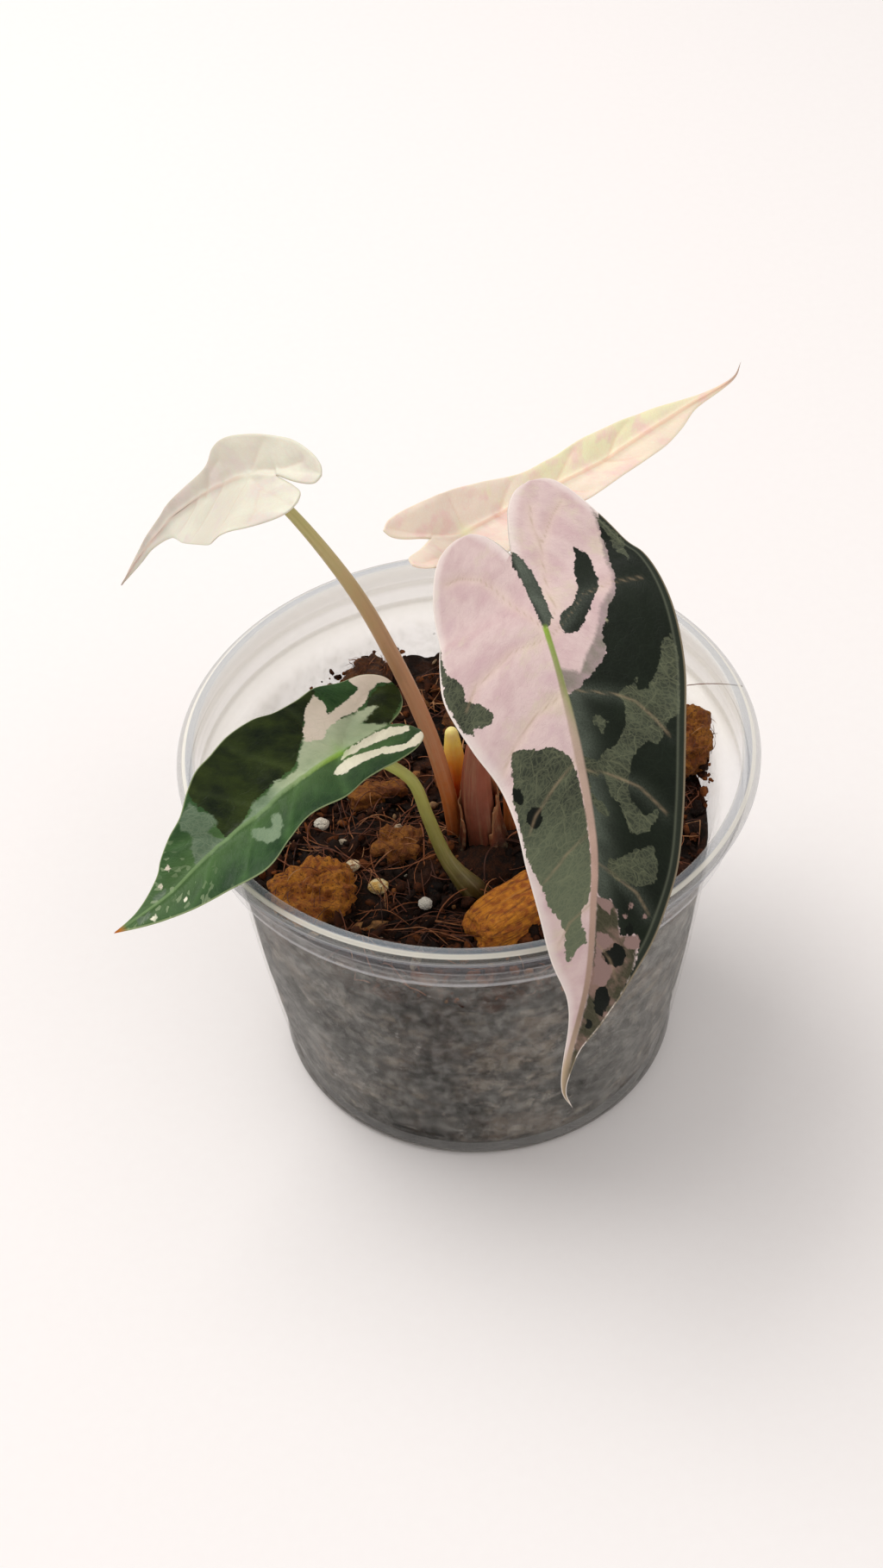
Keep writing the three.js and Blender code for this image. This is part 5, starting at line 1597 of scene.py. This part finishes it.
def lying_fibres():
    """Coir fibres on the mix: each a curl that starts and ends on the mix and arches between.
    Half lie anywhere; the rest gather in tangles, drawn out sideways at the front."""
    count, steps = FIBRES, FIBRE_STEPS
    x, y = scattered(count, inside_radius(MIX_TOP) - 5)
    tangles = np.array([
        [-10, -25, 12, 2.4], [-4, -27, 9, 2], [-24, -8, 5, 5], [30, 4, 6, 6], [-22, 26, 8, 6],
        [-14, 2, 6, 5], [-2, 38, 10, 4], [38, -4, 4, 7],
    ])
    gathered = np.arange(count) % 2 == 0
    chosen = tangles[np.arange(count) // 2 % len(tangles)]
    x = np.where(gathered, chosen[:, 0] + chosen[:, 2] * rng.normal(0, 0.8, count), x)
    y = np.where(gathered, chosen[:, 1] + chosen[:, 3] * rng.normal(0, 0.8, count), y)
    combed = np.arange(count) // 2 % len(tangles) < 2
    heading = rng.uniform(0, 2 * math.pi, count)
    heading = np.where(gathered & combed, rng.normal(0, 0.35, count), heading)
    length = rng.uniform(4, 20, count)
    curl = rng.normal(0, 1.3, count)
    along = np.linspace(-0.5, 0.5, steps)
    bearing = heading[:, None] + curl[:, None] * along
    step = length[:, None] / steps
    px = x[:, None] + np.cumsum(np.cos(bearing) * step, 1)
    py = y[:, None] + np.cumsum(np.sin(bearing) * step, 1)
    inward = np.minimum(1, (inside_radius(MIX_TOP) - 1.6) / np.maximum(np.hypot(px, py), 1))
    px, py = px * inward, py * inward
    arch = rng.uniform(0, 1, count)[:, None] ** 2 * 5 * (1 - (2 * along) ** 2)
    pz = mix_height(px, py) + 0.8 + arch * length[:, None] / 20
    radius = rng.uniform(0.06, 0.15, count)[:, None] * np.sqrt(np.maximum(0, 1 - (2 * along) ** 6))
    return np.stack([px, py, pz], -1), radius


def chip_hairs():
    """Short coir hairs on the crumbly husk chips: each leaves the chip near its surface and bends
    over it."""
    lines, steps = [], np.linspace(0, 1, FIBRE_STEPS)[:, None]
    for at, size, turn, _, _, crumbly in HUSK_CHIPS:
        count = int(60 * crumbly)
        out = unit(rng.normal(size=(count, 3)))
        out[:, 2] = np.abs(out[:, 2])
        spread = unit(np.cross(out, rng.normal(size=(count, 3))))
        angle = math.radians(turn)
        local = out * np.array(size) * 0.46
        turned = np.stack([
            local[:, 0] * math.cos(angle) - local[:, 1] * math.sin(angle),
            local[:, 0] * math.sin(angle) + local[:, 1] * math.cos(angle), local[:, 2],
        ], -1)
        length = rng.uniform(1.5, 5, count)[:, None, None]
        path = spread[:, None] * steps + out[:, None] * (0.7 * steps - 0.6 * steps**2)
        lines.append(np.array(at) + turned[:, None] + path * length)
    centre = np.concatenate(lines)
    thick = rng.uniform(0.05, 0.09, len(centre))[:, None]
    return centre, thick * np.sqrt(np.maximum(0, 1 - steps[:, 0] ** 4))


def stray_hairs():
    """Three long hairs: one bridging the ring at the right, two bowed over the mix at the left."""
    steps = np.linspace(0, 1, FIBRE_STEPS)[:, None]
    ends = [
        ([46.3, 20.5, 74], [57, 15.2, 78], 0.6), ([-26, -2, 58], [-18, 8, 58.5], 6),
        ([-30, -6, 58.5], [-14, -24, 58], 3.5),
    ]
    lines = [
        np.array(start) * (1 - steps) + np.array(end) * steps + [0, 0, bow] * (4 * steps * (1 - steps))
        for start, end, bow in ends
    ]
    return np.stack(lines), np.full((len(ends), FIBRE_STEPS), 0.11)


def fibres():
    """All the coir fibres as one piece."""
    groups = [lying_fibres(), chip_hairs(), stray_hairs()]
    centre = np.concatenate([group[0] for group in groups])
    radius = np.concatenate([group[1] for group in groups])
    points, faces = tubes(centre, radius, FIBRE_SIDES)
    tone = np.repeat(rng.uniform(0, 1, len(centre)), FIBRE_STEPS * FIBRE_SIDES)
    return make_piece("coir_fibres", points, faces, fibre_finish(), "coconut_husk", (), {"tone": tone})


def husk_chip(number, chip, material):
    """A husk chip: a rounded block pushed out of shape by layered noise. Firm chips are drawn into
    ridges along their length and torn at their ends, crumbly ones are pitted all over."""
    at, size, turn, tilt, tone, crumbly = chip
    directions, faces = ball(76, 104)
    half = np.array(size) / 2
    power = 4.6 - 1.6 * crumbly
    reach = (np.abs(directions / half) ** power).sum(1) ** (-1 / power)
    local = directions * reach[:, None]
    seed = int(abs(at[0]) * 10)
    lumps = rough(local, 6.0, 3, seed + 7)
    ridges = rough(local * [0.25, 1.3, 1.3], 1.6, 3, seed)
    pith = rough(local, 2.2, 4, seed + 11)
    pits = np.clip(rough(local, 2.6, 2, seed + 17), 0, 1) ** 0.7
    push = (0.6 + 0.7 * crumbly) * lumps + 0.3 * (1 - crumbly) * ridges
    push = push + crumbly * (0.9 * pith - 1.7 * pits)
    ends = ease(np.abs(local[:, 0]), 0.3 * size[0], 0.5 * size[0])
    torn = rough(local * [0.1, 1.8, 1.8], 1.6, 2, seed + 3) * ends * (1 - crumbly)
    local = local + push[:, None] * unit(directions / half)
    local[:, 0] += 1.2 * torn * np.sign(local[:, 0])
    cx, sx = math.cos(math.radians(tilt)), math.sin(math.radians(tilt))
    cz, sz = math.cos(math.radians(turn)), math.sin(math.radians(turn))
    tilted = local @ np.array([[1, 0, 0], [0, cx, -sx], [0, sx, cx]]).T
    turned = tilted @ np.array([[cz, -sz, 0], [sz, cz, 0], [0, 0, 1]]).T
    points = turned + np.array(at)
    far = np.hypot(points[:, 0], points[:, 1])
    points[:, :2] *= np.minimum(1, (inside_radius(points[:, 2]) - GAP) / far)[:, None]
    bed = mix_height(points[:, 0], points[:, 1])
    values = {
        "grain": local + at[0],
        # Strength of the painted shade where the chip meets the mix.
        "buried": ease(points[:, 2] - bed, 1.4, -0.6),
        "tone": np.full(len(points), tone),
        "crumbly": np.full(len(points), crumbly),
    }
    nodes = [f"husk_chip_{number}"]
    return make_piece(f"husk_{number}", points, faces, material, "coconut_husk", nodes, values)


def perlite_grain(number, grain, material):
    """A perlite grain: a ball with lumps and small pits, some drawn out sideways."""
    at, size, tone = grain
    directions, faces = ball(44, 60)
    lumps = 0.13 * rough(directions * 3 + at[0], 2.6, 3, 3)
    pits = -0.06 * np.clip(lattice_noise(directions * 3 + at[0], 0.45, 8), 0, 1)
    shape = np.array([1.02, 0.84, 0.8]) * (0.96 + lumps + pits)[:, None]
    points = directions * size / 2 * shape + np.array(at)
    nodes = [f"perlite_grain_{number}"]
    values = {"tone": np.full(len(points), tone)}
    return make_piece(f"grain_{number}", points, faces, material, "perlite", nodes, values)


def corm():
    """The corm: a rough egg with ring scars round it, mostly buried."""
    directions, faces = ball(70, 90)
    half = np.array(CORM_SIZE) / 2
    scars = 0.02 * np.sin(directions[:, 2] * 26 + rough(directions * 4, 2.0, 2, 2))
    lumps = 0.05 * rough(directions * 6, 2.4, 4, 5)
    points = directions * half * (0.97 + scars + lumps)[:, None] + np.array(CORM_AT)
    material = earth_finish("corm skin", srgb(22, 12, 7), srgb(54, 30, 18), srgb(96, 58, 34), 2.4)
    return make_piece("corm_skin", points, faces, material, "corm_skin", ["corm"])


# The plant

blade("front", LEAVES["front"], front_leaf_finish(), "pink_dark_leaf", {
    "dark": FRONT_DARK, "net": FRONT_NET, "veil": FRONT_VEIL, "spots": FRONT_PINK,
    "blots": FRONT_BLOTS,
})
blade("left", LEAVES["left"], left_leaf_finish(), "green_leaf", {
    "dark": LEFT_DARK, "net": LEFT_NET, "cream": LEFT_CREAM,
})
white_leaf = pale_leaf_finish(
    "white leaf",
    # Body tones: the greying from stalk to tip is painted shade.
    [[0.0, 232, 230, 212], [0.3, 220, 216, 199], [0.6, 202, 195, 183], [1.0, 190, 179, 170]],
    srgb(230, 231, 212), srgb(220, 208, 200), srgb(212, 178, 160), 49.0, srgb(150, 130, 122),
    srgb(222, 220, 196),
)
blade("back_left", LEAVES["back_left"], white_leaf, "white_leaf", {})
blush_leaf = pale_leaf_finish(
    "blush leaf",
    [[0.0, 250, 232, 212], [0.35, 250, 232, 216], [0.7, 246, 230, 208], [1.0, 236, 218, 198]],
    srgb(246, 244, 196), srgb(246, 210, 202), srgb(230, 172, 142), 75.0, srgb(150, 132, 124),
    srgb(246, 234, 204),
)
blade("back_right", LEAVES["back_right"], blush_leaf, "blush_leaf", {})

green_stalk = stalk_finish("green stalk", [
    [0.12, 46, 34, 16], [0.2, 84, 70, 30], [0.34, 124, 116, 54],
    [0.6, 172, 170, 88], [0.85, 190, 196, 106], [1.0, 180, 198, 100],
], 0.3)
tan_stalk = stalk_finish("tan stalk", [
    [0.08, 150, 72, 30], [0.18, 206, 118, 58], [0.3, 206, 142, 102],
    [0.55, 204, 160, 120], [0.78, 190, 172, 120], [1.0, 176, 174, 104],
], 0.4)
red_stalk = stalk_finish("red stalk", [
    [0.08, 52, 26, 16], [0.17, 118, 62, 44], [0.28, 160, 92, 72], [0.42, 172, 104, 84],
    [0.7, 186, 132, 104], [1.0, 164, 166, 90],
], 1.0)
shoot_skin = stalk_finish("new shoot", [
    [0.42, 112, 44, 16], [0.6, 214, 88, 26], [0.76, 238, 156, 50],
    [0.9, 248, 220, 104], [1.0, 250, 234, 150],
], 0.2)
fine_ribs, deep_ribs = (7, 0.018), (11, 0.07)
for name, material, slot, ribs in (
    ("left", green_stalk, "green_stalk", fine_ribs),
    ("back_left", tan_stalk, "tan_stalk", fine_ribs),
    ("front", red_stalk, "red_stalk", deep_ribs),
    ("back_right", tan_stalk, "tan_stalk", fine_ribs),
):
    rows = seated_rows(STALKS[name], LEAVES[name])
    stalk(f"{name}_stalk", f"{name}_leaf_stalk", rows, material, slot, *ribs)
stalk("shoot", "new_shoot", NEW_SHOOT, shoot_skin, "shoot_skin", *fine_ribs)
sheath()
corm()

# The mix and the cup

mix_bed()
crumb_material = crumb_finish()
crumbs(crumb_material)
wall_crumbs(crumb_material)
fibres()
husk = husk_finish()
for number, chip in enumerate(HUSK_CHIPS, 1):
    husk_chip(number, chip, husk)
perlite = perlite_finish()
for number, grain in enumerate(PERLITE, 1):
    perlite_grain(number, grain, perlite)
cup()

# Studio

def floor():
    """A wide flat sheet at the cup's foot, in metres."""
    reach = 12.0
    corners = [(-reach, -reach, 0), (reach, -reach, 0), (reach, reach, 0), (-reach, reach, 0)]
    mesh = bpy.data.meshes.new("floor")
    mesh.from_pydata(corners, [], [(0, 1, 2, 3)])
    mesh.materials.append(floor_finish())
    sheet = bpy.data.objects.new("floor", mesh)
    bpy.context.scene.collection.objects.link(sheet)


def area_light(name, at, aim, size, power, color):
    """A square soft light at a place, turned to its aim, all in metres."""
    light = bpy.data.lights.new(name, "AREA")
    light.size = size
    light.energy = power
    light.color = color
    lamp = bpy.data.objects.new(name, light)
    bpy.context.scene.collection.objects.link(lamp)
    back = unit(np.array(at, float) - np.array(aim, float))
    side = unit(np.cross([0, 0, 1.0], back))
    set_frame(lamp, side, np.cross(back, side), back, at)


def set_frame(piece, x_axis, y_axis, z_axis, at):
    """Places an object by its three axes and its origin."""
    columns = np.vstack([np.column_stack([x_axis, y_axis, z_axis, at]), [0, 0, 0, 1]])
    piece.matrix_world = Matrix(columns.tolist())


def camera():
    """The photograph's view: a pinhole camera a little over half a metre from the pot, looking down
    by 45.6 degrees and rolled by 3 degrees. Focal length and frame height are in pixels."""
    distance, down, roll = 0.526, math.radians(45.6), math.radians(-3.0)
    focal_length, frame_height = 3000, 1819
    look_at = np.array([-0.0057, 0, 0.0695])
    back = np.array([0, -math.cos(down), math.sin(down)])
    right = np.array([1.0, 0, 0])
    up = np.cross(back, right)
    data = bpy.data.cameras.new("camera")
    data.sensor_width = 36
    data.lens = focal_length * data.sensor_width / frame_height
    view = bpy.data.objects.new("camera", data)
    bpy.context.scene.collection.objects.link(view)
    across = math.cos(roll) * right + math.sin(roll) * up
    upward = math.cos(roll) * up - math.sin(roll) * right
    set_frame(view, across, upward, back, look_at + distance * back)
    bpy.context.scene.camera = view


floor()
camera()
middle = (0, 0, 0.06)
area_light("key", (-0.55, 0.35, 1.1), middle, size=0.9, power=9.5, color=(1.0, 0.985, 0.96))
area_light("fill", (0.8, -0.7, 0.8), middle, size=1.2, power=3.2, color=(1.0, 0.99, 0.97))
world = bpy.data.worlds.new("studio")
world.use_nodes = True
sky = world.node_tree.nodes["Background"].inputs
sky["Color"].default_value = srgb(255, 252, 250)
sky["Strength"].default_value = 0.54
bpy.context.scene.world = world
bpy.context.scene.view_settings.view_transform = "Standard"
